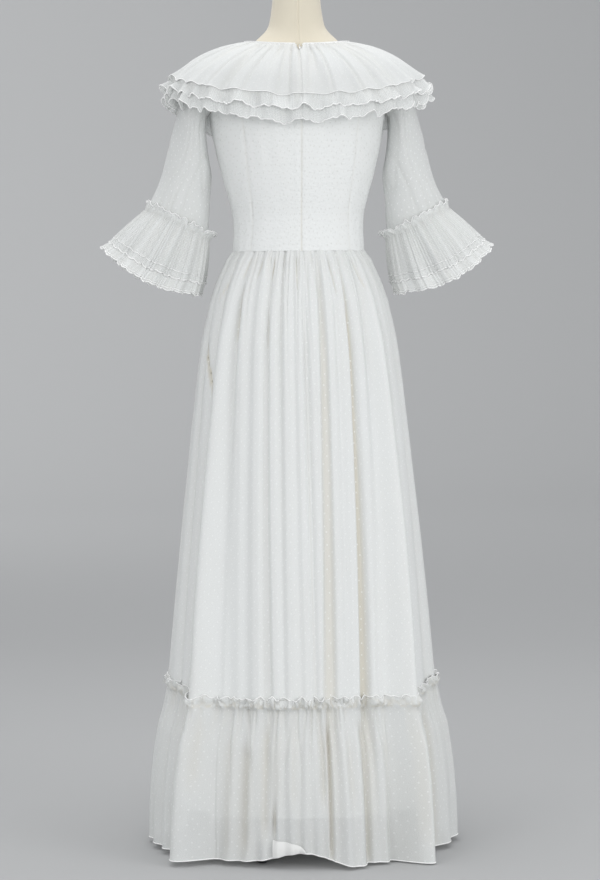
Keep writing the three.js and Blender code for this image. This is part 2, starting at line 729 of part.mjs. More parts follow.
for (const [name, at, columns, rows] of [
  ["sleeve", sleeveAt, SLEEVE_COLUMNS, SLEEVE.length],
  ["cuff_ruffle", cuffAt, CUFF_COLUMNS, 2],
  ["cuff_underfrill", underfrillAt, CUFF_COLUMNS, 2],
]) {
  const left = wall(at, {
    columns: steps(0, columns, columns),
    rows: steps(0, rows, rows),
    closed: true,
  });
  add(name + "_left", left, WHITE_CHIFFON);
  add(name + "_right", mirrored(left), WHITE_CHIFFON);
}

// ---- Dress form ----------------------------------------------------------------------------

const FORM_SIDES = 28;
const ROUND_SIDES = 24;
const formRings = FORM.map((r) =>
  Array.from({ length: FORM_SIDES }, (_, i) => ringPoint(r, (2 * Math.PI * i) / FORM_SIDES)),
);
add("form_torso", solidOfRings(formRings), FORM_JERSEY);

function upright(radius, bottom, top, sides) {
  const tube = new THREE.CylinderGeometry(radius, radius, top - bottom, sides);
  return tube.rotateX(Math.PI / 2).translate(0, 0, (top + bottom) / 2);
}

const capZ = FORM[FORM.length - 1].zSide + SEAM;
const formBottom = FORM[0].zSide;
const { radius: capRadius, thickness: capThickness } = NECK_CAP;
add("form_neck_cap", upright(capRadius, capZ, capZ + capThickness, ROUND_SIDES), FORM_JERSEY);
add("stand_pole", upright(POLE_RADIUS, HUB_Z[1] + SEAM, formBottom - SEAM, ROUND_SIDES), STEEL);
add("stand_hub", upright(HUB_RADIUS, HUB_Z[0], HUB_Z[1], ROUND_SIDES), STEEL);

// ---- Legs and casters ----------------------------------------------------------------------

// A leg slopes from rootZ at the hub to a flat pad over its caster.
const LEG = { width: 22, gap: 0.4, rootZ: [78, 98], bend: [16, 12], tip: 12, tipRise: 10, bendRise: 14 };
const LEG_PROFILE = [
  [HUB_RADIUS + LEG.gap, LEG.rootZ[0]],
  [CASTER_REACH - LEG.bend[0], LEG_END_Z],
  [CASTER_REACH + LEG.tip, LEG_END_Z],
  [CASTER_REACH + LEG.tip, LEG_END_Z + LEG.tipRise],
  [CASTER_REACH - LEG.bend[1], LEG_END_Z + LEG.bendRise],
  [HUB_RADIUS + LEG.gap, LEG.rootZ[1]],
];
const AXLE_Z = WHEEL_RADIUS * Math.cos(Math.PI / WHEEL_SIDES); // a flat facet rests on the floor
const FORK = { width: 26, gap: 18, from: -11, to: 21, bottom: 13, crown: 38 };

// A profile of [outwards, up] points, made width thick and turned to an angle round the pole.
function radial(profile, width, degrees) {
  const shape = new THREE.Shape(profile.map(([x, y]) => new THREE.Vector2(x, y)));
  const bar = new THREE.ExtrudeGeometry(shape, { depth: width, bevelEnabled: false });
  bar.translate(0, 0, -width / 2).rotateX(Math.PI / 2);
  return bar.rotateZ(Math.PI / 2 + radians(degrees));
}

function caster(degrees, number) {
  const top = LEG_END_Z - SEAM;
  const half = FORK.width / 2;
  const inside = FORK.gap / 2;
  const section = new THREE.Shape([
    new THREE.Vector2(-half, FORK.bottom),
    new THREE.Vector2(-inside, FORK.bottom),
    new THREE.Vector2(-inside, FORK.crown),
    new THREE.Vector2(inside, FORK.crown),
    new THREE.Vector2(inside, FORK.bottom),
    new THREE.Vector2(half, FORK.bottom),
    new THREE.Vector2(half, top),
    new THREE.Vector2(-half, top),
  ]);
  const along = { depth: FORK.to - FORK.from, bevelEnabled: false };
  const fork = new THREE.ExtrudeGeometry(section, along);
  fork.rotateX(Math.PI / 2).rotateZ(Math.PI / 2);
  fork.translate(CASTER_REACH + FORK.from, 0, 0).rotateZ(Math.PI / 2 + radians(degrees));
  add("caster_fork_" + number, fork, STEEL);
  const wheel = new THREE.CylinderGeometry(WHEEL_RADIUS, WHEEL_RADIUS, WHEEL_WIDTH, WHEEL_SIDES);
  wheel.rotateY(Math.PI / WHEEL_SIDES);
  wheel.translate(CASTER_REACH + CASTER_TRAIL, 0, AXLE_Z);
  wheel.rotateZ(Math.PI / 2 + radians(degrees));
  add("caster_wheel_" + number, wheel, BLACK_RUBBER);
}

CASTER_ANGLES.forEach((degrees, i) => {
  add("stand_leg_" + (i + 1), radial(LEG_PROFILE, LEG.width, degrees), STEEL);
  caster(degrees, i + 1);
});

// ---- Place: the origin is at the middle of the footprint, on the floor ---------------------

gown.updateMatrixWorld(true);
const box = new THREE.Box3().setFromObject(gown);
gown.position.set(-(box.min.x + box.max.x) / 2, -(box.min.y + box.max.y) / 2, -box.min.z);

export default gown;
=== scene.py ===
"""Dotted chiffon gown on a limbless dress form with a caster stand.

Builds the cloth, the form, the wheels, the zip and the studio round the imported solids.
Lengths in the tables are millimetres in the garment's own frame: +Z up, the back faces +Y, and
angles start at the centre back and grow towards the wearer's right, -X.
"""

from math import cos, exp, floor, hypot, pi, radians, sin, sqrt, tau

import bmesh
import bpy
from bpy.props import FloatProperty, FloatVectorProperty, PointerProperty
from bpy.types import NodeSocket, Operator, Panel, PropertyGroup
from mathutils import Matrix, Vector, noise


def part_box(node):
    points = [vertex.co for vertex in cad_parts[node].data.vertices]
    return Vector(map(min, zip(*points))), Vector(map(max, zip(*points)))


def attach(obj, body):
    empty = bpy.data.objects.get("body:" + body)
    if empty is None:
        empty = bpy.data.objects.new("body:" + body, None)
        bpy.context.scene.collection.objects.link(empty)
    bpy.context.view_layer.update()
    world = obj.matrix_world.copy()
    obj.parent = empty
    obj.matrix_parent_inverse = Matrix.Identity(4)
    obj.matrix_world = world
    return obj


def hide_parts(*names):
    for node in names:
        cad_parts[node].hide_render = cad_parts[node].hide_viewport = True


bl_info = {
    "name": "Dotted gown on a dress form",
    "version": (1, 0, 0),
    "blender": (4, 5, 0),
    "location": "View3D > Sidebar > Gown",
    "description": "Builds the gown's cloth, its dress form and a small studio",
    "category": "Object",
}

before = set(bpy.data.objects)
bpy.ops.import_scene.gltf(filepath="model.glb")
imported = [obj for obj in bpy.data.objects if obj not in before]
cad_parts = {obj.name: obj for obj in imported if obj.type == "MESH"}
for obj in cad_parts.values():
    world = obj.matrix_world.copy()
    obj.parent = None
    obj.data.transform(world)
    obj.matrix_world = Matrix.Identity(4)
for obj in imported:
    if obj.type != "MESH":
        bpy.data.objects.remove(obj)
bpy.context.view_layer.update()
BODY = "gown_and_form"
POLE_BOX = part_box("stand_pole")
AXIS = Vector(((POLE_BOX[0][0] + POLE_BOX[1][0]) / 2, (POLE_BOX[0][1] + POLE_BOX[1][1]) / 2, 0))

# ---- Measures of the garment -------------------------------------------------------------------

WAIST_Z = 1055
STITCH_Z = 288
HEADING = 16
HEM_Z = 10
WAIST_OVERLAP = 1.2
EDGE_STRIP = 0.002

# side, back, front, height at the side, the back and the front
BODICE = (
    (117, 84, 92, 1055, 1055, 1055),
    (115.5, 86, 97, 1110, 1110, 1110),
    (124, 93, 107, 1150, 1150, 1150),
    (137, 101, 124, 1200, 1200, 1200),
    (148.5, 106, 130, 1250, 1250, 1250),
    (156, 107, 128, 1292, 1290, 1268),
    (163, 105, 122, 1345, 1332, 1290),
    (158, 99, 113, 1388, 1366, 1312),
    (130, 85, 104, 1408, 1392, 1330),
    (92, 62, 94, 1419, 1411, 1343),
)
NECK_STEP = 9
COLLAR = (
    (94, 64, 96, 1423.5, 1416, 1347.5),
    (137, 93, 114, 1414, 1393, 1334),
    (182, 113, 130, 1393, 1362, 1305),
    (224, 124, 143, 1360, 1325, 1268),
)
COLLAR_END = 3
UPPER_FRILL = {"step": 2.93, "edge": (233, 131, 151, 1341, 1303, 1247), "drop": 1.5, "wave": 4}
LOWER_FRILL = {"step": 2.9, "edge": (232, 130, 151, 1322, 1283, 1228), "drop": 3.4, "wave": 7}
COLLAR_WAVES = 24
COLLAR_SCALLOPS = 110
CUFF_SCALLOPS = 40
FRILL_LOOPS = 42
NECKLINE = (93.5, 63.5, 95.5, 1423.5, 1416, 1347.5)
# the neck's band stands a little above the neckline and is faced down to the form inside
NECK_BAND = {"above": 1.6, "below": 9, "inward": 7}

FORM = (
    (147, 108, 103, 850, 850, 850),
    (136, 97, 96, 930, 930, 930),
    (119, 86, 88, 990, 990, 990),
    (107, 75, 83, 1055, 1055, 1055),
    (108, 78, 90, 1110, 1110, 1110),
    (122, 90, 110, 1180, 1180, 1180),
    (137, 97, 120, 1250, 1250, 1250),
    (145, 98, 117, 1300, 1296, 1275),
    (149, 96, 109, 1348, 1335, 1300),
    (143, 90, 94, 1380, 1366, 1325),
    (119, 76, 78, 1398, 1389, 1350),
    (91, 58, 68, 1411, 1406, 1378),
    (68, 48, 54, 1430, 1424, 1408),
    (52, 43, 46, 1447, 1441, 1434),
    (46, 41, 43, 1468, 1465, 1462),
    (42, 40, 41, 1500, 1500, 1500),
    (42, 40, 41, 1518, 1518, 1518),
)

# height, side, back, front
SKIRT = (
    (1054.7, 117, 84, 92),
    (1040, 129, 93, 99),
    (1004, 146, 107, 109),
    (969, 159, 119, 118),
    (898, 174.5, 137, 132),
    (826, 184.5, 150, 144),
    (719, 197, 166, 158),
    (576, 213, 186, 177),
    (432, 228, 204, 196),
    (288, 241.5, 221, 213),
)
FLOUNCE = (
    (288, 244, 223.5, 215.5),
    (252, 251, 229, 222),
    (216, 261.5, 236, 230),
    (143, 270, 243, 238),
    (71, 274.5, 246, 243),
    (10, 276, 248, 246),
)
LINING = (
    (1053, 112, 79, 87),
    (969, 138, 98, 100),
    (850, 156, 118, 117),
    (576, 188, 160, 152),
    (288, 214, 194, 188),
    (80, 236, 214, 210),
)
# degrees at the waist and at the stitch line, depth at the hip and at the stitch line, how far
# the fold after it swells, and how narrow the valley is
FOLDS = (
    (0, 2, 8, 4, 0, 2.2),
    (12, 8, 14, 16, 0, 2.8),
    (21, 15.5, 4, 3, 0, 2),
    (30, 23, 12, 20, 9, 3.2),
    (43, 30, 8, -12, 50, 1.5),
    (58, 47, 10, 9, 0, 2),
    (74, 66, 7, 8, 0, 1.5),
    (90, 88, 5, 5, 0, 1.5),
    (104, 103, 8, 10, 0, 2),
    (118, 117, 10, 12, 0, 2.5),
    (133, 131, 7, 8, 0, 1.5),
    (148, 147, 11, 14, 0, 3),
    (164, 163, 8, 9, 0, 2),
    (180, 180, 9, 12, 0, 2.5),
    (196, 198, 7, 8, 0, 1.5),
    (212, 214, 11, 13, 0, 3),
    (228, 230, 8, 9, 0, 2),
    (243, 244, 10, 12, 0, 2.5),
    (257, 258, 7, 9, 0, 1.5),
    (270, 272, 6, 5, 0, 1.5),
    (284, 290, 8, 8, 0, 2),
    (299, 303.5, 5, 9, 42, 1.5),
    (315, 322.5, 9, -6, 0, 2),
    (326, 333, 4, 4, 0, 1.5),
    (336, 342, 9, 9, 0, 2),
    (345, 349, 7, 4, 0, 2),
    (353, 356, 4, 3, 0, 1.5),
)
FOLD_COUNT = len(FOLDS)
# flat beds of the deepest valleys: fold, half width at the waist and at the stitch line, depth,
# tone of the painted shade in the bed, and how far below the waist each one is fully there
BEDS = (
    (0, 1.2, 2.5, 4, 0.08, 180),
    (FOLD_COUNT, 1.2, 2.5, 4, 0.08, 180),
    (1, 3.0, 10.0, 7, 0.42, 200),
    (3, 1.8, 6.5, 9, 0.75, 140),
    (24, 2.5, 9.0, 5, 0.08, 220),
    (5, 2.5, 5.0, 6, 0.12, 120),
)
WAIST_DEPTH = 2.5
# slits between gathers, the first one the pocket's: angle and height of the top and of the low end,
# depth, half width in degrees, tone of the painted shadow in the slit, and how much the cloth beside it
# is rumpled
SLITS = (
    (-71.0, 904, -59.5, 802, 3.5, 1.0, 1.5, 2.2),
    (-43.8, 996, -44.4, 900, 5.0, 1.1, 0.4, 0),
    (-22.6, 945, -21.8, 885, 3.0, 0.7, 0.15, 0),
    (-21.8, 1044, -22.7, 1004, 3.0, 0.6, 0.75, 0),
    (-32.0, 1044, -34.0, 1008, 3.0, 0.6, 0.5, 0),
    (-45.0, 1044, -46.5, 1006, 3.0, 0.6, 0.5, 0),
    (-59.0, 1016, -67.0, 968, 3.0, 0.8, 0.5, 0),
    (-4.5, 1044, -4.0, 990, 3.0, 0.6, 0.35, 0),
    (21.0, 1044, 22.5, 980, 3.0, 0.6, 0.35, 0),
    (44.0, 1044, 47.0, 985, 3.0, 0.7, 0.35, 0),
)
# the stitch line hangs lower than its row: how far at the sides and at the back, and its reach
SAG = {"side": 6, "back": 18, "above": 150, "below": 110}
HIP_SHARE = 0.2
RIGHT_SEAM_FOLD = 7
LEFT_SEAM_FOLD = 19
FLOUNCE_LIFT = 3.4
HEADING_SHARE = 0.14
RUCHE_RADIUS = 0.9
COLLAR_EDGE_RADIUS = 0.7
# columns and rows of the sheets; the skirt and the flounce have these columns for each fold
GRIDS = {
    "form": (120, 90), "bodice_back": (48, 56), "bodice_front": (80, 56), "bodice_side": (36, 48),
    "lining": (120, 36), "skirt": (26, 56), "flounce": (42, 44), "turn_up": (40, 12),
    "collar": (800, 25), "collar_frill": (900, 12), "neck_band": (240, 6), "sleeve": (128, 64),
    "cuff": (600, 16),
}
# columns and sides of the rolls along their edges
ROLLS = {
    "hem": (42, 5), "ruche": (42, 4), "collar": (800, 4), "collar_frill": (1200, 4),
    "cuff": (640, 4),
}
SWELL_GROWTH = 1.14
# where the hem is moved: degrees, width, up and out
HEM_PLACES = ((-4, 12, 17, 0), (13, 7, -5, 26), (36, 17, -7, 0), (-49, 9, 0, 14))
TURN_UP = {"start": 24.46, "end": 26.2, "height": 31, "lift": 1.6}
# creases of the flounce: degrees, top, bottom, depth, half width in degrees
FLOUNCE_CREASES = (
    (-58, 262, 12, 7, 2.2),
    (-43, 270, 150, 4, 1.5),
    (-33, 240, 20, 4, 2.0),
    (-26, 225, 30, 8, 2.2),
    (-18, 262, 60, 7, 1.6),
    (-14.2, 105, 58, 9, 0.8),
    (-13.5, 250, 110, 3, 1.6),
    (-7, 262, 110, 3, 1.2),
    (4, 255, 120, 6, 1.2),
    (6.5, 262, 12, 10, 0.8),
    (14, 250, 120, 3, 1.4),
    (20.4, 262, 12, 9, 1.4),
    (29, 240, 40, 3, 1.6),
    (37, 262, 60, 4, 1.6),
    (57, 262, 12, 8, 2.4),
)

# degrees of the princess seam at even steps from the waist to the armhole
PRINCESS_SEAM = ((48.5,), (46.5,), (44.5,), (42.5,), (41,), (43,), (56,))
SEAM_GROOVE = {"depth": 0.7, "width": 2.2}
PANEL_WIDTH = {"back": 90, "front": 190, "side": 75}
ARMHOLE = {"angle": 34, "middle": 6.35, "reach": 1.3}

# outer x and z, under x and z, middle y, half depth, how far the back and the front sag
SLEEVE = (
    (178, 1384, 160.5, 1290, -4, 58, 0),
    (200, 1345, 161, 1264, -5, 56, 0),
    (213, 1290, 158, 1226, -6, 53, 0),
    (227, 1240, 153, 1193, -8, 52, 0),
    (243, 1187, 155, 1154, -10, 52, 0),
    (257, 1152, 156, 1112, -11, 53, 0),
    (268, 1130, 159, 1076, -12, 54, 0),
)
CUFF_EDGE = (331, 1073, 165, 1001, -16, 78, 15)
UNDERFRILL_EDGE = (346, 1064, 172, 980, -18, 84, 20)
CUFF_WAVES = 12
CUFF_WAVE = 5
# rolls on the cuffs and their frills: name, row and share of the picot's radius
CUFF_EDGES = (("picot", 2, 1.0), ("cord", 1.86, 0.55), ("curls", 0, 0.7))

# width, start, length, height, lift and taper of the blocks of the zip's slider and of its tab
SLIDER_BLOCKS = (
    (5.4, 1.0, 9.8, 1.2, 0.8, 0.7),
    (5.4, 1.0, 9.8, 1.2, 2.6, 0.7),
    (1.6, 2.5, 3.0, 2.2, 1.4, 1.0),
    (1.4, 3.0, 6.0, 0.8, 3.4, 1.0),
)
TAB_BLOCKS = (
    (3.0, 2.0, 3.4, 1.0, 4.6, 1.0),
    (4.2, 4.8, 10.2, 1.0, 4.65, 0.8),
)

NECK_CAP_RADIUS = 0.038
NECK_CAP_ROUND = 0.0012
WHEEL_RADIUS = 17
WHEEL_WIDTH = 16
CASTER_TRAIL_REACH = 207
CASTER_ANGLES = (-24, 66, 156, 246)

# opacity of the ground and of the dots, the dots' colour (on the lined chiffon a painted shade of the
# dots' dimples), tint, crinkle, relief and lace
CHIFFONS = {
    # the lined chiffon's dots are painted darker than its ground: painted shade of the dimples the dots
    # sit in
    "lined_chiffon": (1.0, 1.0, (0.77, 0.78, 0.76), 0.945, 1.0, 1.0, 0.0),
    "skirt_chiffon": (0.74, 0.80, (0.92, 0.935, 0.93), 1.0, 0.25, 0.55, 0.0),
    "flounce_chiffon": (0.55, 0.62, (0.915, 0.93, 0.925), 1.0, 0.3, 0.55, 0.0),
    "sleeve_chiffon": (0.53, 0.64, (0.92, 0.935, 0.93), 1.0, 0.3, 0.55, 0.0),
    "frill_chiffon": (0.52, 0.58, (0.93, 0.94, 0.935), 1.0, 0.3, 0.55, 0.08),
    "collar_chiffon": (0.76, 0.8, (0.87, 0.88, 0.87), 0.92, 0.4, 0.55, 0.0),
}
# painted shadow: the dark colour the cloth turns to where the shade attribute is near full, in place of
# the dark inside of a slit
SLIT_SHADOW_COLOUR = (0.30, 0.29, 0.26)
# how often a pattern repeats in a metre of chiffon, across and along
WEAVE = (900, 1100, 1)
CREASES = (70, 230, 1)
PATCHES = (9, 5, 1)
LACE_HOLES = (330, 330, 1)

# ---- Sizes and colours that can be changed -----------------------------------------------------


def length_value(name, text, value):
    return FloatProperty(name=name, description=text, default=value, unit="LENGTH")


def colour_value(name, text, value):
    return FloatVectorProperty(name=name, description=text, default=value, subtype="COLOR")


class GownSizes(PropertyGroup):
    """Sizes of the cloth and its trimmings."""

    cloth: length_value("Cloth thickness", "Thickness of each layer of cloth", 0.0004)
    dot_pitch: length_value("Dot pitch", "Distance between two woven dots on the slant", 0.0122)
    dot_radius: length_value("Dot radius", "Half the width of a woven dot", 0.0012)
    picot: length_value("Picot radius", "Half the thickness of the looped edge of a frill", 0.0012)
    hem: length_value("Hem roll radius", "Half the thickness of the rolled hem", 0.0011)


class GownColours(PropertyGroup):
    """Colours of the cloth, the form, the stand and the studio."""

    chiffon: colour_value("Chiffon", "Colour of the outer cloth", (0.895, 0.912, 0.905))
    # painted shade: the chiffon is blended towards this colour where the shade attribute marks folds,
    # gathers and slits, in place of the shadow there
    valley: colour_value("Fold shade", "Colour of the cloth deep inside a fold", (0.66, 0.62, 0.52))
    lining: colour_value("Lining", "Colour of the lining", (0.88, 0.885, 0.87))
    binding: colour_value("Edges", "Colour of the bindings and the looped edges", (0.96, 0.965, 0.955))
    jersey: colour_value("Form cover", "Colour of the dress form's knit cover", (0.735, 0.68, 0.555))
    steel: colour_value("Stand", "Colour of the painted stand", (0.30, 0.30, 0.31))
    rubber: colour_value("Tyres", "Colour of the casters' tyres", (0.03, 0.03, 0.035))
    brass: colour_value("Zip", "Colour of the zip's slider", (0.66, 0.55, 0.36))
    backdrop: colour_value("Backdrop", "Colour of the floor and the backdrop", (0.470, 0.475, 0.477))


def sizes():
    return bpy.context.scene.gown_sizes


def colours():
    return bpy.context.scene.gown_colours


# ---- Shapes of the garment ---------------------------------------------------------------------


def lerp(a, b, t):
    return a + (b - a) * t


def clamp(value, low=0.0, high=1.0):
    return min(max(value, low), high)


def mix(p, q, t):
    return tuple(lerp(a, b, t) for a, b in zip(p, q))


def bell(off, width):
    return exp(-((off / width) ** 2))


def angle_off(degrees, middle):
    """How far an angle is from another one, the short way round."""
    return (degrees - middle + 180) % 360 - 180


def between(table, step):
    """Smooth steps between the rows of a table, at a row number that need not be whole."""
    last = len(table) - 1
    i = min(max(floor(step), 0), last - 1)
    t = step - i
    p1, p2 = table[i], table[i + 1]
    p0 = table[i - 1] if i > 0 else tuple(2 * a - b for a, b in zip(p1, p2))
    p3 = table[i + 2] if i + 2 <= last else tuple(2 * b - a for a, b in zip(p1, p2))
    return tuple(
        b + t * (c - a + t * (2 * a - 5 * b + 4 * c - d + t * (3 * b - 3 * c + d - a))) / 2
        for a, b, c, d in zip(p0, p1, p2, p3)
    )


def step_at(table, z):
    """The row number of a height in a table that starts with heights."""
    i = 0
    while i < len(table) - 2 and table[i + 1][0] > z:
        i += 1
    return i + (table[i][0] - z) / (table[i][0] - table[i + 1][0])


def wander(turn, count, height, seed):
    """Smooth noise round the body with about count swings a turn, from -1 to 1."""
    reach = count / tau
    angle = tau * turn
    point = Vector((reach * cos(angle) + seed, reach * sin(angle) - seed, height))
    return clamp(1.7 * noise.noise(point), -1, 1)


def troughs(turn, count, height, seed, width=0.3):
    """Narrow uneven troughs round the body, 1 in their middles and 0 between them."""
    return bell(wander(turn, count, height, seed), width)


def ring_point(ring, angle, out=0.0):
    side, back, front, z_side, z_back, z_front = ring
    s, c = sin(angle), cos(angle)
    depth, z_middle = (back, z_back) if c > 0 else (front, z_front)
    return (-(side + out) * s, (depth + out) * c, lerp(z_side, z_middle, c * c))


def outline_point(row, angle, inset, z):
    side, back, front = row
    s, c = sin(angle), cos(angle)
    depth = back if c > 0 else front
    keep = 1 - inset / hypot(side * s, depth * c)
    return (-side * s * keep, depth * c * keep, z)


def bodice_point(degrees, step, out=0.0):
    return ring_point(between(BODICE, step), radians(degrees), out)


def seam_angle(step):
    if step <= ARMHOLE["middle"]:
        return between(PRINCESS_SEAM, step / ARMHOLE["middle"] * (len(PRINCESS_SEAM) - 1))[0]
    rise = (step - ARMHOLE["middle"]) / ARMHOLE["reach"]
    return 90 - ARMHOLE["angle"] * sqrt(1 - rise * rise) if rise < 1 else 90


def armhole_step(share):
    """How high a side panel reaches below the armhole, at a share of the way from its seam."""
    low, high = 0.0, ARMHOLE["middle"]
    while high - low > 1e-4:
        step = (low + high) / 2
        across = (90 - lerp(seam_angle(step), 90, share)) / ARMHOLE["angle"]
        up = (step - ARMHOLE["middle"]) / ARMHOLE["reach"]
        if across * across + up * up > 1:
            low = step
        else:
            high = step
    return low


def fold_row(k):
    return FOLDS[k % FOLD_COUNT]


def fold_angle(k, share):
    row = fold_row(k)
    return lerp(row[0], row[1], share) + 360 * (k // FOLD_COUNT)


def fold_depth(k, share):
    hip, hem = fold_row(k)[2:4]
    if share < HIP_SHARE:
        return lerp(WAIST_DEPTH, hip, share / HIP_SHARE)
    return lerp(hip, hem, (share - HIP_SHARE) / (1 - HIP_SHARE))


def fold_place(place, z):
    """Angle in degrees, depth below the outline, swell, and how shaded the place is."""
    share = clamp((WAIST_Z - z) / (WAIST_Z - STITCH_Z))
    k = floor(place)
    part = place - k
    angle = lerp(fold_angle(k, share), fold_angle(k + 1, share), part)
    nearest = k if part < 0.5 else k + 1
    sharp = fold_row(nearest)[5]
    round_top = (1 + cos(tau * part)) / 2
    valley = round_top**sharp
    swell = fold_row(k)[4] * (1 - round_top) * share
    depth = fold_depth(nearest, share)
    # painted shade in the valleys of the deeper folds
    shade = clamp((depth - 5) * valley**2 / 45)
    sunk = depth * valley
    for fold, top, low, flat, tone, start in BEDS:
        if k in (fold - 1, fold):
            radius = between(SKIRT, step_at(SKIRT, max(z, STITCH_Z)))[2]
            off = radians(angle - fold_angle(fold, share)) * radius
            bed = exp(-((off / lerp(top, low, share)) ** 4))
            bed *= clamp((WAIST_Z - z) / start) ** 1.3
            sunk = lerp(sunk, flat, bed)
            shade = lerp(shade, tone, bed)
    return angle, sunk, swell, shade


def turn_at(place, share):
    """Share of a full turn at the waist, share 0, or at the stitch line, share 1."""
    k = floor(place)
    return lerp(fold_angle(k, share), fold_angle(k + 1, share), place - k) / 360


def stitch_sag(angle, z):
    """How much lower the cloth hangs near the stitch line, most of all at the back."""
    reach = SAG["above"] if z > STITCH_Z else SAG["below"]
    behind = clamp((cos(radians(angle)) - 0.4) / 0.3)
    return lerp(SAG["side"], SAG["back"], behind) * bell(z - STITCH_Z, reach)


def skirt_point(place, z):
    """A point of the skirt with its gathers, as x, y, z and shade."""
    angle, depth, swell, shade = fold_place(place, z)
    turn = turn_at(place, 0)
    down = WAIST_Z - z
    share = down / (WAIST_Z - STITCH_Z)
    start = clamp(0.4 + down / 25)
    fine = troughs(turn, 105, down / 160, 3.1) * 2.6 * exp(-down / 45) * start
    middle = troughs(turn, 46, down / 260, 7.7, 0.2) * 3.4 * exp(-down / 110) * start
    long = troughs(turn, 12, down / 1400, 12.3, 0.12) * 1.6 * (0.3 + 0.7 * share)
    sway = 2.0 * wander(turn, 11, down / 700, 21.0) * clamp(share * 3)
    depth += fine + middle + long - sway - 2.2 * exp(-down / 22)
    shade += 0.05 * fine + 0.03 * middle + 0.02 * long
    for top, z_top, low, z_low, deep, width, tone, rumple in SLITS:
        along = (z_top - z) / (z_top - z_low)
        if 0 < along < 1:
            off = angle_off(angle, lerp(top, low, along))
            ends = sin(pi * along)
            slit = bell(off, width * ends**0.5)
            depth += deep * slit - rumple * wander(turn, 130, z / 13, 25.0) * bell(off, 5) * ends
            shade += tone * slit
    row = between(SKIRT, step_at(SKIRT, z))[1:]
    x, y, height = outline_point(row, radians(angle), depth - swell, z)
    return (x, y, height - stitch_sag(angle, z), clamp(shade))


def hem_shift(degrees):
    """How far the hem is moved up and out at an angle."""
    up = out = 0.0
    for middle, width, height, reach in HEM_PLACES:
        off = angle_off(degrees, middle)
        up += height * bell(off, width)
        out += reach * bell(off, width)
    return up, out


def flounce_point(place, z, out=0.0):
    """A point of the flounce: its ruched heading, its gathers and its deeper creases."""
    turn = turn_at(place, 1)
    wave = (1 - cos(tau * place * 4 / 3)) / 2
    if z >= STITCH_Z:
        rise = (z - STITCH_Z) / HEADING
        x, y, z_top, shade = skirt_point(place, z)
        ruche = troughs(turn, 220, rise * 1.6, 31.0, 0.35)
        curl = wander(turn, 170, 3.0 + 1.5 * rise, 33.0)
        lift = FLOUNCE_LIFT + rise * (1.5 + 2 * wave) + 1.2 * sin(pi * rise) + out
        lift += (5.5 * curl - 4.5 * ruche) * clamp(rise * 2.5)
        reach = hypot(x, y)
        keep = 1 + lift / reach
        ripple = (2.0 + 5.0 * wander(turn, 150, 2.0, 37.0)) * rise**2
        # painted shade in the ruching's troughs, most near the stitch line, with the skirt's fold shade
        # carried on
        tone = 0.3 * shade + 0.5 * ruche * (1 - rise) + 0.15 * ruche
        return (x * keep, y * keep, z_top + ripple, clamp(tone))
    fall = (STITCH_Z - z) / (STITCH_Z - HEM_Z)
    angle, depth, swell, shade = fold_place(place, STITCH_Z)
    top = exp(-fall * 7)
    kept = depth * (1 - fall) ** 1.2 - swell * lerp(1, SWELL_GROWTH, fall)
    fine = troughs(turn, 130, fall * 1.3, 41.0) * 3.2 * top
    middle = troughs(turn, 56, fall * 0.9, 43.0, 0.2) * 3.6 * exp(-fall * 3.4)
    k = floor(place)
    gather = 10 * wave * sqrt(fall) * clamp((fold_angle(k + 1, 1) - fold_angle(k, 1)) / 13)
    sway = 2.6 * wander(turn, 24, fall * 0.8, 47.0) * sqrt(fall)
    crease = 0.0
    for middle_angle, z_top, z_low, deep, width in FLOUNCE_CREASES:
        off = angle_off(angle, middle_angle)
        if abs(off) < 4 * width:
            ends = clamp((z_top + 12 - z) / 40) * clamp((z - z_low + 30) / 45)
            crease += deep * bell(off, width) * ends
    row = between(FLOUNCE, step_at(FLOUNCE, z))[1:]
    up, reach = hem_shift(angle)
    inset = kept + gather + fine + middle - sway + crease - out - reach * fall
    # painted shade in the flounce's gathers, creases and the valleys of its waves
    tone = 0.5 * shade * (1 - fall) + 0.06 * fine + 0.03 * middle + 0.05 * crease
    tone += 0.05 * wave * fall
    height = z + up * fall * fall - stitch_sag(angle, z)
    return (*outline_point(row, radians(angle), inset, height), clamp(tone))


def lining_point(turn, step):
    z, *row = between(LINING, step)
    sway = 2.0 * wander(turn, 14, step * 0.5, 51.0) * clamp(step / 2)
    return (*outline_point(row, tau * turn, -sway, z), 0.0)


def ruffled(point, angle, amount):
    out = Vector((-sin(angle), cos(angle), 0.5)).normalized() * amount
    return (point[0] + out.x, point[1] + out.y, point[2] + out.z)


def collar_wave(turn):
    """The collar's big waves, uneven round the body, from -1 to 1."""
    even = cos(tau * turn * COLLAR_WAVES)
    return clamp(0.75 * even + 0.6 * wander(turn, 30, 0.0, 61.0), -1, 1)


def slit_turn(turn, width):
    """Keeps a round piece clear of the back opening by half its width, in shares of a turn."""
    return lerp(width, 1 - width, turn)


def collar_slit(share):
    """The opening is wide enough for the zip's tab near the neck and closes below it."""
    return lerp(0.0075, -0.0003, clamp((share - 0.1) / 0.08))


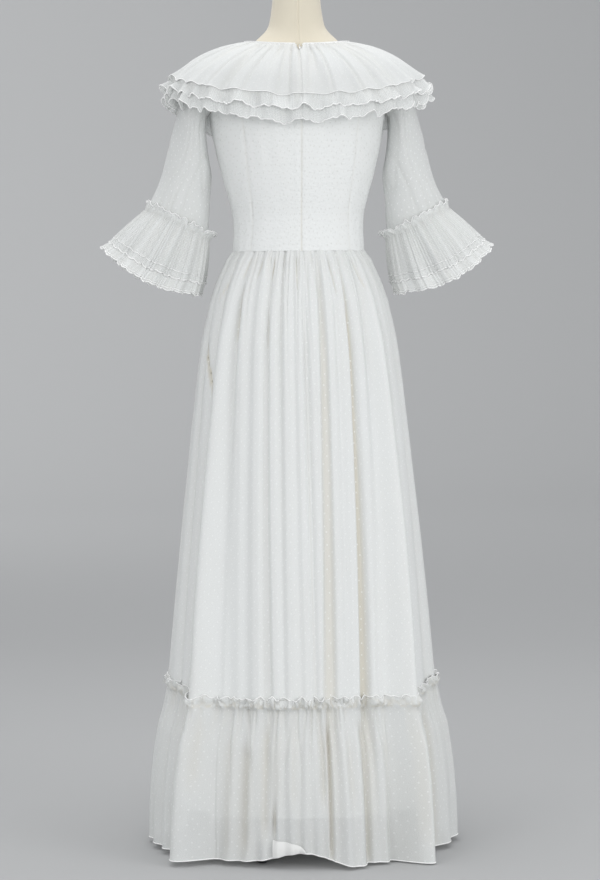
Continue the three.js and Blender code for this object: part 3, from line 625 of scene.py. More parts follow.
def collar_point(turn, step):
    share = step / COLLAR_END
    t = slit_turn(turn, collar_slit(share))
    angle = tau * t
    point = ring_point(between(COLLAR, step), angle)
    near = exp(-share * 3.2)
    fine = troughs(t, 130, share * 0.8, 63.0, 0.3)
    radial = troughs(t, 46, share * 0.35, 67.0, 0.24)
    lift = 5 * share * collar_wave(t) + 1.6 * near * clamp(share * 12)
    lift += 3.0 * share * wander(t, 44, share * 0.4, 69.0)
    phase = tau * FRILL_LOOPS * t + 2.0 * wander(t, 24, 0.0, 87.0)
    looped = abs(sin(angle)) ** 8 * share**6
    lift += 5 * looped * cos(phase)
    lift -= 1.7 * fine * near + 4.4 * radial * exp(-share * 0.9) * clamp(share * 8)
    shade = clamp(0.16 * fine * near + 0.13 * radial * exp(-share * 0.9))
    x, y, z = ruffled(point, angle, lift)
    z += (4.5 * looped * sin(phase)) + 1.6 * wander(t, 60, 0.0, 89.0) * share**4
    return (x, y, z, shade)


def frill_point(turn, share, frill):
    t = slit_turn(turn, -0.0003)
    angle = tau * t
    root = collar_point(turn, frill["step"])[:3]
    end = ring_point(frill["edge"], angle)
    x, y, z = mix(root, end, share)
    seed = frill["drop"]
    wave = frill["wave"] * collar_wave(t) + 6.0 * wander(t, 84, share * 0.5, 70 + seed)
    fine = troughs(t, 170, share * 0.4, 75 + seed, 0.3)
    side = abs(sin(angle)) ** 6 * share
    phase = tau * (FRILL_LOOPS * t + seed) + 1.5 * wander(t, 24, 0.0, 85 + seed)
    edge = 3.8 * wander(t, 70, 0.0, 80 + seed) * share + 9 * side * sin(phase)
    scallop = 1.8 * abs(sin(pi * COLLAR_SCALLOPS * t)) * share**4
    point = (x, y, z - frill["drop"] * (1 - share) + edge - scallop)
    lift = share * wave - frill["drop"] * 0.6 - 1.4 * fine * (1 - share * 0.5) * clamp(share * 6)
    lift += 8 * side * cos(phase)
    return (*ruffled(point, angle, lift), clamp(0.12 * fine * (1 - share)))


def armhole_point(angle):
    degrees = -(90 - ARMHOLE["angle"] * cos(angle))
    step = ARMHOLE["middle"] + ARMHOLE["reach"] * sin(angle)
    x, y, z = bodice_point(degrees, step)
    before, after = (Vector(bodice_point(degrees + d, step)) for d in (-1, 1))
    low, high = (Vector(bodice_point(degrees, step + d)) for d in (-0.1, 0.1))
    out = (after - before).cross(high - low).normalized() * 1.8
    return (x + out.x, y + out.y, z + out.z)


def hoop_point(hoop, angle, out=0.0):
    out_x, out_z, under_x, under_z, y, depth, sag = hoop
    half_x, half_z = (out_x - under_x) / 2, (out_z - under_z) / 2
    half = hypot(half_x, half_z)
    grow = 1 + out / half
    droop = sag * cos(angle) ** 2 / half
    return (
        (out_x + under_x) / 2 + half_x * grow * sin(angle) + half_z * droop,
        y + (depth + out) * cos(angle),
        (out_z + under_z) / 2 + half_z * grow * sin(angle) - half_x * droop,
    )


def shifted_hoop(hoop, along):
    half_x, half_z = hoop[0] - hoop[2], hoop[1] - hoop[3]
    length = hypot(half_x, half_z)
    dx, dz = half_z / length * along, -half_x / length * along
    return (hoop[0] + dx, hoop[1] + dz, hoop[2] + dx, hoop[3] + dz, *hoop[4:])


def sleeve_point(turn, row):
    """A point of the sleeve on the wearer's left, from the armhole, row 0, to its end, row 7."""
    angle = tau * turn
    last = len(SLEEVE)
    head = armhole_point(angle)
    near_head = exp(-row * 1.6)
    near_end = exp(-(last - row) * 1.1)
    gather = troughs(turn, 70, row * 0.2, 91.0, 0.3)
    drape = wander(turn, 9, row * 0.55, 95.0)
    drag = troughs(turn, 12, row * 0.5, 97.0, 0.16)
    inset = 2.2 * gather * (near_end + 0.7 * near_head * clamp(row * 3))
    inset += (1.6 * drag - 2.0 * drape) * clamp(row) * clamp((last - row) * 1.5)
    shade = clamp(0.12 * gather * (near_head + near_end) + 0.04 * drag * clamp(row))
    if row < 1:
        x, y, z = mix(head, hoop_point(SLEEVE[0], angle, -inset), row)
    else:
        x, y, z = hoop_point(between(SLEEVE, row - 1), angle, -inset)
    return (x, y, z, shade)


def cuff_waves(turn, row):
    """The bell's waves and fine pleats, in millimetres out, and how deep in a pleat."""
    even = cos(tau * turn * CUFF_WAVES)
    uneven = wander(turn, 20, row * 0.3, 101.0)
    pleat = troughs(turn, 120, row * 0.15, 103.0, 0.38)
    return CUFF_WAVE * clamp(0.75 * even + 0.6 * uneven, -1, 1), pleat


def scallop(turn, share):
    return 2.6 * abs(sin(pi * CUFF_SCALLOPS * turn)) * clamp(share) ** 4


def cuff_point(turn, row):
    """Row 0 is the top of the heading, row 1 the stitch line, row 2 the edge."""
    angle = tau * turn
    wave, pleat = cuff_waves(turn, row)
    end = SLEEVE[-1]
    stitch = hoop_point(end, angle, 3.2 - 1.4 * pleat)
    if row < 1:
        curl = wander(turn, 50, row, 108.0)
        flare = 6.7 + 0.3 * wave + 3.4 * curl - 2.4 * troughs(turn, 60, row, 107.0, 0.35)
        edge = 4.4 * wander(turn, 48, 0.0, 109.0) - 4.5
        top = hoop_point(shifted_hoop(end, -9 + edge), angle, flare)
        x, y, z = mix(top, stitch, row)
        return (x, y, z, clamp(0.14 * pleat * row))
    share = row - 1
    ragged = 1.8 * wander(turn, 48, 0.0, 111.0) * share + scallop(turn, share)
    hoop = shifted_hoop(CUFF_EDGE, ragged)
    edge = hoop_point(hoop, angle, wave - 1.8 * pleat)
    x, y, z = mix(stitch, edge, share)
    puff = 3 * sin(pi * share) - 0.6 * pleat
    x, y, z = x + puff * sin(angle) * 0.5, y + puff * cos(angle), z
    return (x, y, z, clamp(pleat * lerp(0.12, 0.04, share)))


def underfrill_point(turn, row):
    """Row 0 is at the sleeve's end, row 1 at the cuff's edge, row 2 the frill's own edge."""
    angle = tau * turn
    wave, pleat = cuff_waves(turn, 2)
    root = hoop_point(shifted_hoop(SLEEVE[-1], 2), angle)
    middle = hoop_point(CUFF_EDGE, angle, wave - 1.8 - 1.8 * pleat)
    if row < 1:
        x, y, z = mix(root, middle, row)
        return (x, y, z, clamp(0.1 * pleat))
    ragged = 2.2 * wander(turn, 44, 0.0, 117.0) * (row - 1) + scallop(turn + 0.4, row - 1)
    edge = hoop_point(shifted_hoop(UNDERFRILL_EDGE, ragged), angle, wave - 2.2 * pleat)
    x, y, z = mix(middle, edge, row - 1)
    return (x, y, z, clamp(0.1 * pleat))


# ---- Meshes ------------------------------------------------------------------------------------


def metres(point):
    return Vector((AXIS.x + point[0] / 1000, AXIS.y + point[1] / 1000, point[2] / 1000))


def spread(i, count, crisp):
    """Even steps from 0 to 1, with a narrow one at each end that keeps the cloth's edge crisp."""
    if not crisp or i in (0, count):
        return i / count
    return lerp(EDGE_STRIP, 1 - EDGE_STRIP, (i - 1) / (count - 2))


def distances(points):
    """How far along a row of points each one lies."""
    sums = [0.0]
    for here, ahead in zip(points, points[1:]):
        sums.append(sums[-1] + (ahead - here).length)
    return sums


def longest(lines):
    return max(map(distances, lines), key=lambda line: line[-1])


def cloth_grid(columns, rows, point, closed=False, mirrored=False, turned=False, crisp=True):
    """A grid of cloth through point(u, v), with its own UV map in metres and its shade.

    Returns the mesh, the cut's width and length and the area that shows.
    """
    bm = bmesh.new()
    bmesh.ops.create_grid(bm, x_segments=columns, y_segments=rows, size=0.5)
    shade = bm.verts.layers.float.new("shade")
    uv_map = bm.loops.layers.uv.new("Cloth")
    places = {}
    cells = {}
    for vert in bm.verts:
        i = round((vert.co.x + 0.5) * columns)
        j = round((vert.co.y + 0.5) * rows)
        x, y, z, tone = point(spread(i, columns, crisp and not closed), spread(j, rows, crisp))
        vert.co = metres((-x if mirrored else x, y, z))
        vert[shade] = tone
        places[vert.index] = (i, j)
        cells[i, j] = vert.co
    across = longest([cells[i, j] for i in range(columns + 1)] for j in range(rows + 1))
    along = longest([cells[i, j] for j in range(rows + 1)] for i in range(columns + 1))
    for face in bm.faces:
        for loop in face.loops:
            i, j = places[loop.vert.index]
            loop[uv_map].uv = (across[i], along[j])
    if closed:
        ends = [v for v in bm.verts if places[v.index][0] in (0, columns)]
        bmesh.ops.remove_doubles(bm, verts=ends, dist=1e-6)
    if turned != mirrored:
        bmesh.ops.reverse_faces(bm, faces=bm.faces)
    return bm, (across[-1], along[-1]), sum(face.calc_area() for face in bm.faces)


def add_object(name, data):
    thing = bpy.data.objects.new(name, data)
    bpy.context.scene.collection.objects.link(thing)
    return thing


def smooth_object(bm, name, material):
    mesh = bpy.data.meshes.new(name)
    bm.to_mesh(mesh)
    bm.free()
    mesh.shade_smooth()
    mesh.materials.append(material)
    return add_object(name, mesh)


def make_piece(bm, name, material, replaces=(), thickness=0.0, body=BODY):
    """A piece of its own in a body; with a thickness, its sheet grows a wall inwards."""
    piece = smooth_object(bm, name, material)
    if thickness:
        wall = piece.modifiers.new("Thickness", "SOLIDIFY")
        wall.thickness = thickness
        wall.offset = -1
    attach(piece, body)
    if replaces:
        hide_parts(*replaces)
    return piece


def edge_roll(name, grid, path, radius, closed=True, mirrored=False):
    """A roll of thread along path(t), with its seam welded; radius is in millimetres."""
    columns, sides = grid
    step = 1 / columns

    def point(u, v):
        here = Vector(path(u)[:3])
        ahead = Vector(path((u + step) % 1 if closed else min(u + step, 1))[:3])
        behind = Vector(path((u - step) % 1 if closed else max(u - step, 0))[:3])
        along = (ahead - behind).normalized()
        out = Vector((here.x, here.y, 0)).normalized()
        out = (out - along * out.dot(along)).normalized()
        up = along.cross(out)
        turn = tau * v
        spot = here + (out * cos(turn) + up * sin(turn)) * radius
        return (*spot, 0.0)

    bm, _, _ = cloth_grid(columns, sides, point, mirrored=mirrored, crisp=False)
    bmesh.ops.remove_doubles(bm, verts=bm.verts, dist=1e-6)
    bmesh.ops.recalc_face_normals(bm, faces=bm.faces)
    return make_piece(bm, name, edge_thread())


def cloth_piece(name, grid, point, material, held, rests_on, *, slot="dotted_chiffon",
                shaped=False, trims=(), **options):
    """A sheet of cloth that takes the place of the solid of its name."""
    bm, cut, area = cloth_grid(*grid, point, **options)
    piece = make_piece(bm, name + "_cloth", material, (name,), sizes().cloth)


# ---- Materials ---------------------------------------------------------------------------------


def add_node(tree, kind, inputs=None, **settings):
    """A node with its settings, and its inputs given as values or as sockets to link."""
    node = tree.nodes.new("ShaderNode" + kind)
    for key, value in settings.items():
        setattr(node, key, value)
    for key, value in (inputs or {}).items():
        if isinstance(value, NodeSocket):
            tree.links.new(value, node.inputs[key])
        else:
            node.inputs[key].default_value = value
    return node


def new_material(name, **values):
    material = bpy.data.materials.new(name)
    material.use_nodes = True
    tree = material.node_tree
    shader = tree.nodes["Principled BSDF"]
    for key, value in values.items():
        shader.inputs[key.replace("_", " ")].default_value = value
    return material, tree, shader


def cloth_map(tree):
    return add_node(tree, "UVMap", uv_map="Cloth").outputs["UV"]


def scaled(tree, source, scale, turn=0.0):
    node = add_node(tree, "Mapping", {"Vector": source, "Scale": scale, "Rotation": (0, 0, turn)})
    return node.outputs["Vector"]


def grain(tree, vector, detail, scale=1.0):
    """The grey value of a noise texture."""
    node = add_node(tree, "TexNoise", {"Vector": vector, "Scale": scale, "Detail": detail})
    return node.outputs["Fac"]


def spots(tree, vector, randomness):
    """How far a place is from the nearest spot of a lattice."""
    inputs = {"Vector": vector, "Scale": 1, "Randomness": randomness}
    node = add_node(tree, "TexVoronoi", inputs, voronoi_dimensions="2D")
    return node.outputs["Distance"]


def blend_colour(tree, amount, first, second):
    first, second = (end if isinstance(end, NodeSocket) else (*end, 1) for end in (first, second))
    node = add_node(tree, "Mix", {"Factor": amount, 6: first, 7: second}, data_type="RGBA")
    return node.outputs[2]


def to_range(tree, value, low, high, new_low, new_high):
    node = add_node(tree, "MapRange", {"Value": value, "From Min": low, "From Max": high,
                                       "To Min": new_low, "To Max": new_high})
    return node.outputs["Result"]


def combine(tree, operation, first, second):
    return add_node(tree, "Math", {0: first, 1: second}, operation=operation).outputs[0]


def weighted(tree, *pairs):
    """The sum of values, each times its weight."""
    total = None
    for value, weight in pairs:
        part = combine(tree, "MULTIPLY", value, weight)
        total = part if total is None else combine(tree, "ADD", total, part)
    return total


def surface(tree, shader, colour, height, strength, distance):
    """Gives a shader its colour and the relief of a height."""
    tree.links.new(colour, shader.inputs["Base Color"])
    inputs = {"Height": height, "Strength": strength, "Distance": distance}
    tree.links.new(add_node(tree, "Bump", inputs).outputs["Normal"], shader.inputs["Normal"])


def chiffon(name):
    """Dotted chiffon by its row in the table, made once and found again after that."""
    found = bpy.data.materials.get(name)
    if found:
        return found
    ground, dot, dot_tone, tint, crinkle, relief, lace = CHIFFONS[name]
    material, tree, shader = new_material(name, Roughness=0.78, Sheen_Weight=0.18,
                                          Sheen_Roughness=0.5, Specular_IOR_Level=0.25)
    cloth = cloth_map(tree)
    pitch, radius = sizes().dot_pitch, sizes().dot_radius
    lattice = spots(tree, scaled(tree, cloth, (1 / pitch, 0.8 / pitch, 1), pi / 4), 0.45)
    mask = to_range(tree, lattice, radius / pitch * 0.75, radius / pitch * 1.35, 1.0, 0.0)
    weave = grain(tree, scaled(tree, cloth, WEAVE), 2)
    creases = grain(tree, scaled(tree, cloth, CREASES), 3)
    patches = grain(tree, scaled(tree, cloth, PATCHES), 2)
    # painted shade from the shade attribute, with faint random patches of tone, blends the cloth
    # towards the fold shade colour
    shade = add_node(tree, "Attribute", attribute_name="shade").outputs["Fac"]
    deep = combine(tree, "ADD", shade, to_range(tree, patches, 0.3, 0.7, 0.0, 0.05))
    light = tuple(tint * c for c in colours().chiffon)
    colour = blend_colour(tree, deep, light, tuple(colours().valley))
    # painted shadow: where the shade is near full, as in the pocket slit, the colour goes dark
    slit = to_range(tree, shade, 0.85, 1.0, 0.0, 0.75)
    colour = blend_colour(tree, slit, colour, SLIT_SHADOW_COLOUR)
    # the dots' colour; on the lined chiffon it is fully there as painted shade of the dots' dimples
    woven = combine(tree, "MULTIPLY", mask, 1.0 if ground == 1 else 0.5)
    colour = blend_colour(tree, woven, colour, dot_tone)
    if ground < 1:
        thread = to_range(tree, weave, 0.35, 0.65, ground - 0.05, ground + 0.05)
        node = add_node(tree, "Mix", {"Factor": mask, 2: thread, 3: dot}, data_type="FLOAT")
        clear = combine(tree, "ADD", node.outputs[0], combine(tree, "MULTIPLY", shade, 0.25))
        if lace:
            holes = spots(tree, scaled(tree, cloth, LACE_HOLES), 0.3)
            clear = combine(tree, "ADD", clear, to_range(tree, holes, 0.2, 0.45, -lace, lace))
        node = add_node(tree, "Clamp", {"Value": clear})
        tree.links.new(node.outputs["Result"], shader.inputs["Alpha"])
    height = weighted(tree, (creases, crinkle), (weave, 0.08), (mask, 0.25))
    surface(tree, shader, colour, height, relief, 0.0012)
    return material


def plain_weave(name, colour, scale=(1100, 1100, 1), strength=0.3, roughness=0.75, sheen=0.15):
    """Plain woven or knitted cloth without dots, on the piece's own UV map."""
    material, tree, shader = new_material(name, Roughness=roughness, Sheen_Weight=sheen)
    cloth = cloth_map(tree)
    threads = grain(tree, scaled(tree, cloth, scale), 2)
    patches = grain(tree, scaled(tree, cloth, (12, 12, 1)), 3)
    tone = weighted(tree, (threads, 0.12), (patches, 0.08))
    blend = blend_colour(tree, tone, tuple(colour), tuple(0.72 * c for c in colour))
    surface(tree, shader, blend, threads, strength, 0.0006)
    return material


def hard_finish(name, colour, roughness, metallic, fineness=600.0):
    """Metal, paint or rubber on object coordinates, with a grain and slight wear."""
    material, tree, shader = new_material(name, Metallic=metallic)
    spot = add_node(tree, "TexCoord").outputs["Object"]
    fine = grain(tree, spot, 2, fineness)
    broad = grain(tree, spot, 4, 28)
    worn = to_range(tree, broad, 0.45, 0.75, 0.0, 0.12)
    lighter = tuple(clamp(c * 1.6 + 0.05) for c in colour)
    rough = to_range(tree, broad, 0.3, 0.7, roughness - 0.08, roughness + 0.1)
    tree.links.new(rough, shader.inputs["Roughness"])
    surface(tree, shader, blend_colour(tree, worn, tuple(colour), lighter), fine, 0.12, 0.0003)
    return material


def edge_thread():
    return bpy.data.materials.get("edge_thread") or plain_weave(
        "edge_thread", colours().binding, (1500, 400, 1), 0.4, 0.5, 0.3)


# ---- Operators ---------------------------------------------------------------------------------


class GOWN_OT_form(Operator):
    """Build the limbless form with its centre seam, its cover and its neck cap."""

    bl_idname = "gown.form"
    bl_label = "Dress form"

    def execute(self, context):
        jersey = plain_weave("form_jersey", colours().jersey, (1400, 700, 1), 0.35, 0.85, 0.25)
        last = len(FORM) - 1

        def skin(u, v):
            turn = tau * u
            angle = turn - 0.75 * sin(turn)
            ring = between(FORM, v * last)
            arc = angle if angle < pi else angle - tau
            off = arc * (ring[0] + ring[1]) / 2
            seam = 0.9 * bell(off, 1.0) - 0.4 * bell(abs(off) - 2.6, 1.4)
            return (*ring_point(ring, angle, -seam), 0.0)

        bm, _, _ = cloth_grid(*GRIDS["form"], skin, closed=True, turned=True)
        rims = [e for e in bm.edges if e.is_boundary]
        bmesh.ops.holes_fill(bm, edges=rims, sides=0)
        bmesh.ops.recalc_face_normals(bm, faces=bm.faces)
        make_piece(bm, "form_body", jersey, ("form_torso",))

        low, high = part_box("form_neck_cap")
        middle = Vector(low).lerp(Vector(high), 0.5)
        bm = bmesh.new()
        bm.loops.layers.uv.new("Cloth")
        bmesh.ops.create_cone(bm, cap_ends=True, segments=96, radius1=NECK_CAP_RADIUS,
                              radius2=NECK_CAP_RADIUS, depth=high[2] - low[2], calc_uvs=True)
        bmesh.ops.translate(bm, verts=bm.verts, vec=middle)
        rims = [e for e in bm.edges if abs(e.verts[0].co.z - e.verts[1].co.z) < 1e-6]
        bmesh.ops.bevel(bm, geom=rims, offset=NECK_CAP_ROUND, segments=3, profile=0.5,
                        affect="EDGES", material=-1)
        make_piece(bm, "form_cap", jersey, ("form_neck_cap",))
        return {"FINISHED"}


class GOWN_OT_stand(Operator):
    """Finish the pole, hub, legs and forks, and build the casters' wheels."""

    bl_idname = "gown.stand"
    bl_label = "Stand and casters"

    def execute(self, context):
        paint = hard_finish("stand_paint", colours().steel, 0.38, 0.0)
        rubber = hard_finish("tyre_rubber", colours().rubber, 0.62, 0.0, 900)
        names = ["stand_pole", "stand_hub"]
        for number in (1, 2, 3, 4):
            names += [f"stand_leg_{number}", f"caster_fork_{number}"]
        for name in names:
            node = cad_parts[name]
            node.data.materials.clear()
            node.data.materials.append(paint)
        for number, degrees in enumerate(CASTER_ANGLES, 1):
            self.wheel(number, degrees, rubber)
        return {"FINISHED"}

    def wheel(self, number, degrees, rubber):
        """A tyre with a rounded tread round a dished hub, spun about its axle."""
        low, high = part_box(f"caster_wheel_{number}")
        axle_z = (low[2] + high[2]) / 2
        half = WHEEL_WIDTH / 2000
        rim = WHEEL_RADIUS / 1000
        outline = ((0, 0.9 * half), (0.28 * rim, half), (0.32 * rim, 0.7 * half),
                   (0.66 * rim, 0.6 * half), (0.72 * rim, 0.98 * half), (0.9 * rim, half),
                   (0.985 * rim, 0.72 * half), (0.99 * rim, 0.3 * half))
        outline += tuple((r, -w) for r, w in reversed(outline))
        bm = bmesh.new()
        verts = [bm.verts.new((0, w, r)) for r, w in outline]
        edges = [bm.edges.new(pair) for pair in zip(verts, verts[1:])]
        bmesh.ops.spin(bm, geom=verts + edges, cent=(0, 0, 0), axis=(0, 1, 0),
                       angle=tau, steps=48, use_merge=True)
        bmesh.ops.remove_doubles(bm, verts=bm.verts, dist=1e-6)
        bmesh.ops.recalc_face_normals(bm, faces=bm.faces)
        turn = radians(degrees)
        reach = CASTER_TRAIL_REACH / 1000
        place = Matrix.Translation((AXIS.x - reach * sin(turn),
                                    AXIS.y + reach * cos(turn), axle_z))
        place = place @ Matrix.Rotation(turn + pi / 2, 4, "Z")
        bmesh.ops.transform(bm, matrix=place, verts=bm.verts)
        make_piece(bm, f"caster_tyre_{number}", rubber,
                   (f"caster_wheel_{number}",), body=f"wheel_{number}")


class GOWN_OT_bodice(Operator):
    """Build the bodice's seven panels, with their seams and the closed zip between two of them."""

    bl_idname = "gown.bodice"
    bl_label = "Bodice"

    def execute(self, context):
        cloth = chiffon("lined_chiffon")

        def seam_line(edge):
            return SEAM_GROOVE["depth"] * bell(edge, SEAM_GROOVE["width"]), 0.1 * bell(edge, 2.0)

        def centre(angle_at, width, zip_share):
            def point(u, v):
                step = v * NECK_STEP
                reach = width * (1 - 0.3 * v)
                groove, shade = seam_line(min(u, 1 - u) * reach)
                if zip_share is not None and abs(u - zip_share) < 0.2:
                    off = abs(u - zip_share) * reach
                    groove, shade = 0.7 * bell(off, 1.2), lerp(0.4, 0.05, v) * bell(off, 1.2)
                    groove -= 0.3 * bell(off - 6, 2.5)
                puff = 0.5 * wander(u * 0.2, 30, v * 8, 121.0)
                return (*bodice_point(angle_at(u, seam_angle(step)), step, puff - groove), clamp(shade))
            return point

        def panel(is_front):
            def point(u, v):
                from_seam = 1 - u if is_front else u
                step = armhole_step(from_seam) * v
                angle = lerp(seam_angle(step), 90, from_seam)
                groove, shade = seam_line(min(u, 1 - u) * PANEL_WIDTH["side"])
                puff = 0.5 * wander(u * 0.2 + 0.4, 30, v * 8, 121.0)
                degrees = 180 - angle if is_front else angle
                return (*bodice_point(degrees, step, puff - groove), clamp(shade))
            return point

        back, front = GRIDS["bodice_back"], GRIDS["bodice_front"]
        for name, grid, width, zip_share, angle_at in (
            ("back_right", back, PANEL_WIDTH["back"], 0.0, lambda u, seam: seam * u),
            ("back_left", back, PANEL_WIDTH["back"], 1.0, lambda u, seam: seam * (u - 1)),
            ("front", front, PANEL_WIDTH["front"], None, lambda u, seam: 180 + seam * (2 * u - 1)),
        ):
            cloth_piece("bodice_" + name, grid, centre(angle_at, width, zip_share), cloth,
                        "stretched", ["form_body"], shaped=True)
        for name, is_front in (("side_back", False), ("side_front", True)):
            for side in ("right", "left"):
                cloth_piece(f"bodice_{name}_{side}", GRIDS["bodice_side"], panel(is_front), cloth,
                            "stretched", ["form_body"], shaped=True, mirrored=side == "left")
        return {"FINISHED"}


PANELS = (
    ("back_right", 0, RIGHT_SEAM_FOLD),
    ("front", RIGHT_SEAM_FOLD, LEFT_SEAM_FOLD),
    ("back_left", LEFT_SEAM_FOLD, FOLD_COUNT),
)


def fold_grid(name, first, end, table=GRIDS):
    """Columns and rows of a sheet or a roll that spans some of the folds."""
    columns, rows = table[name]
    return (end - first) * columns, rows


class GOWN_OT_skirt(Operator):
    """Build the gathered skirt's three panels and the lining inside them."""

    bl_idname = "gown.skirt"
    bl_label = "Skirt and lining"

    def execute(self, context):
        cloth = chiffon("skirt_chiffon")
        lining = plain_weave("lining_lawn", colours().lining)
        top = WAIST_Z + WAIST_OVERLAP
        last = len(LINING) - 1
        columns, rows = GRIDS["lining"]
        for name, first, end in PANELS:
            def skirt(u, v):
                z = lerp(top, STITCH_Z, v**1.5)
                return skirt_point(lerp(first, end, u), z)
            cloth_piece("skirt_" + name, fold_grid("skirt", first, end), skirt, cloth, "gathered",
                        ["lining_front_cloth"], turned=True)
        for name, start, finish in (("back_right", 0, 0.25), ("front", 0.25, 0.75),
                                    ("back_left", 0.75, 1)):
            def inner(u, v):
                return lining_point(lerp(start, finish, u), v * last)
            cloth_piece("lining_" + name, (round((finish - start) * columns), rows), inner, lining,
                        "hung", ["form_body"], slot="lining_cloth", turned=True, shaped=True)
        return {"FINISHED"}


class GOWN_OT_flounce(Operator):
    """Build the flounce with its ruched heading, its rolled hem and the hem's turned-up corner."""

    bl_idname = "gown.flounce"
    bl_label = "Flounce"

    def execute(self, context):
        cloth = chiffon("flounce_chiffon")
        for name, first, end in PANELS:
            def flounce(u, v):
                if v < HEADING_SHARE:
                    z = lerp(STITCH_Z + HEADING, STITCH_Z, v / HEADING_SHARE)
                else:
                    z = lerp(STITCH_Z, HEM_Z, (v - HEADING_SHARE) / (1 - HEADING_SHARE))
                return flounce_point(lerp(first, end, u), z)

            trims = []
            for trim, z, radius in (("hem", HEM_Z, sizes().hem * 1000),
                                    ("ruche", STITCH_Z + HEADING, RUCHE_RADIUS)):
                def edge(t):
                    return flounce_point(lerp(first, end, t), z)
                grid = fold_grid(trim, first, end, ROLLS)
                trims.append(edge_roll(f"flounce_{name}_{trim}", grid, edge, radius,
                                       closed=False))
            cloth_piece("flounce_" + name, fold_grid("flounce", first, end), flounce, cloth,
                        "gathered", [f"skirt_{name}_cloth"], turned=True, trims=trims)
        self.turn_up()
        return {"FINISHED"}

    def turn_up(self):
        """The corner of the hem that is folded up over the outside, left of the centre back."""
        def corner(u, v):
            place = lerp(TURN_UP["start"], TURN_UP["end"], u)
            tall = TURN_UP["height"] * (1 - u) ** 0.55 + 2
            lift = TURN_UP["lift"] + 1.5 * sin(pi * v)
            return (*flounce_point(place, HEM_Z + tall * v, lift)[:3], 0.0)

        bm, cut, area = cloth_grid(*GRIDS["turn_up"], corner, turned=True)
        white = plain_weave("hem_fold", tuple(0.93 * c for c in colours().lining))
        fold = make_piece(bm, "flounce_turn_up", white, (), sizes().cloth)


class GOWN_OT_collar(Operator):
    """Build the gathered collar, its two frills with looped edges and the neck binding."""

    bl_idname = "gown.collar"
    bl_label = "Collar"

    def execute(self, context):
        cloth = chiffon("collar_chiffon")
        frill_cloth = chiffon("frill_chiffon")
        cloth_piece("collar_ruffle", GRIDS["collar"], lambda u, v: collar_point(u, v * COLLAR_END),
                    cloth, "gathered", ["bodice_front_cloth"], turned=True)
        edge_roll("collar_edge", ROLLS["collar"], lambda t: collar_point(t, COLLAR_END),
                  COLLAR_EDGE_RADIUS, closed=False)
        for name, frill in (("upper", UPPER_FRILL), ("lower", LOWER_FRILL)):
            def sheet(u, v):
                return frill_point(u, v, frill)
            trim = edge_roll(f"collar_frill_{name}_picot", ROLLS["collar_frill"],
                             lambda t: frill_point(t, 1.0, frill),
                             sizes().picot * 1000, closed=False)
            cloth_piece(f"collar_frill_{name}", GRIDS["collar_frill"], sheet, frill_cloth,
                        "gathered", ["collar_ruffle_cloth"], turned=True, trims=[trim])
        satin = plain_weave("neck_satin", colours().binding, (300, 1600, 1), 0.25, 0.4, 0.3)

        def binding(u, v):
            t = slit_turn(u, 0.012)
            inward = NECK_BAND["inward"] * (1 - v) ** 2
            x, y, z = ring_point(NECKLINE, tau * t, -inward)
            return (x, y, z + lerp(-NECK_BAND["below"], NECK_BAND["above"], v), 0.0)

        bm, _, _ = cloth_grid(*GRIDS["neck_band"], binding)
        make_piece(bm, "neck_band", satin, ("neck_binding",), 0.0016)
        return {"FINISHED"}


class GOWN_OT_sleeves(Operator):
    """Build the sheer sleeves, their pleated bells and the frills under them."""

    bl_idname = "gown.sleeves"
    bl_label = "Sleeves and cuffs"

    def execute(self, context):
        cloth = chiffon("sleeve_chiffon")
        frill_cloth = chiffon("frill_chiffon")
        for side in ("left", "right"):
            options = {"closed": True, "mirrored": side == "right"}
            cloth_piece(f"sleeve_{side}", GRIDS["sleeve"],
                        lambda u, v: sleeve_point(u, v * len(SLEEVE)),
                        cloth, "hung", ["bodice_front_cloth"], **options)
            for name, point, edges in (("cuff_ruffle", cuff_point, CUFF_EDGES),
                                       ("cuff_underfrill", underfrill_point, CUFF_EDGES[:2])):
                trims = [
                    edge_roll(f"{name}_{side}_{trim}", ROLLS["cuff"], lambda t: point(t, row),
                              sizes().picot * 1000 * share, **options)
                    for trim, row, share in edges
                ]
                cloth_piece(f"{name}_{side}", GRIDS["cuff"], lambda u, v: point(u, 2 * v),
                            frill_cloth, "gathered", [f"sleeve_{side}_cloth"], trims=trims,
                            **options)
        return {"FINISHED"}


class GOWN_OT_zip(Operator):
    """Build the zip's slider and the tab that hangs from it."""

    bl_idname = "gown.zip"
    bl_label = "Zip"

    def execute(self, context):
        brass = hard_finish("zip_brass", colours().brass, 0.3, 1.0, 1500)
        steel = hard_finish("zip_steel", (0.42, 0.42, 0.41), 0.3, 1.0, 1500)
        neck = Vector(bodice_point(0, NECK_STEP))
        down = (Vector(bodice_point(0, NECK_STEP - 1)) - neck).normalized()
        out = Vector((1, 0, 0)).cross(down)
        slope = Matrix(((1, 0, 0), down, out)).transposed().to_4x4()
        slope.translation = neck

        for name, blocks, metal, replaced, body in (
            ("zip_slider_body", SLIDER_BLOCKS, brass, "zip_slider", BODY),
            ("zip_pull_tab", TAB_BLOCKS, steel, "zip_pull", "zip_pull"),
        ):
            bm = bmesh.new()
            for width, start, long, high, lift, taper in blocks:
                made = bmesh.ops.create_cube(bm, size=1.0)["verts"]
                for vert in made:
                    across = vert.co.x * width * (taper if vert.co.y > 0 else 1.0)
                    vert.co = Vector((across, start + (vert.co.y + 0.5) * long,
                                      lift + (vert.co.z + 0.5) * high))
                edges = list({e for v in made for e in v.link_edges})
                bmesh.ops.bevel(bm, geom=edges, offset=min(width, high) * 0.22, segments=3,
                                profile=0.5, affect="EDGES", material=-1)
            for vert in bm.verts:
                vert.co = metres(slope @ vert.co)
            make_piece(bm, name, metal, (replaced,), body=body)
        return {"FINISHED"}


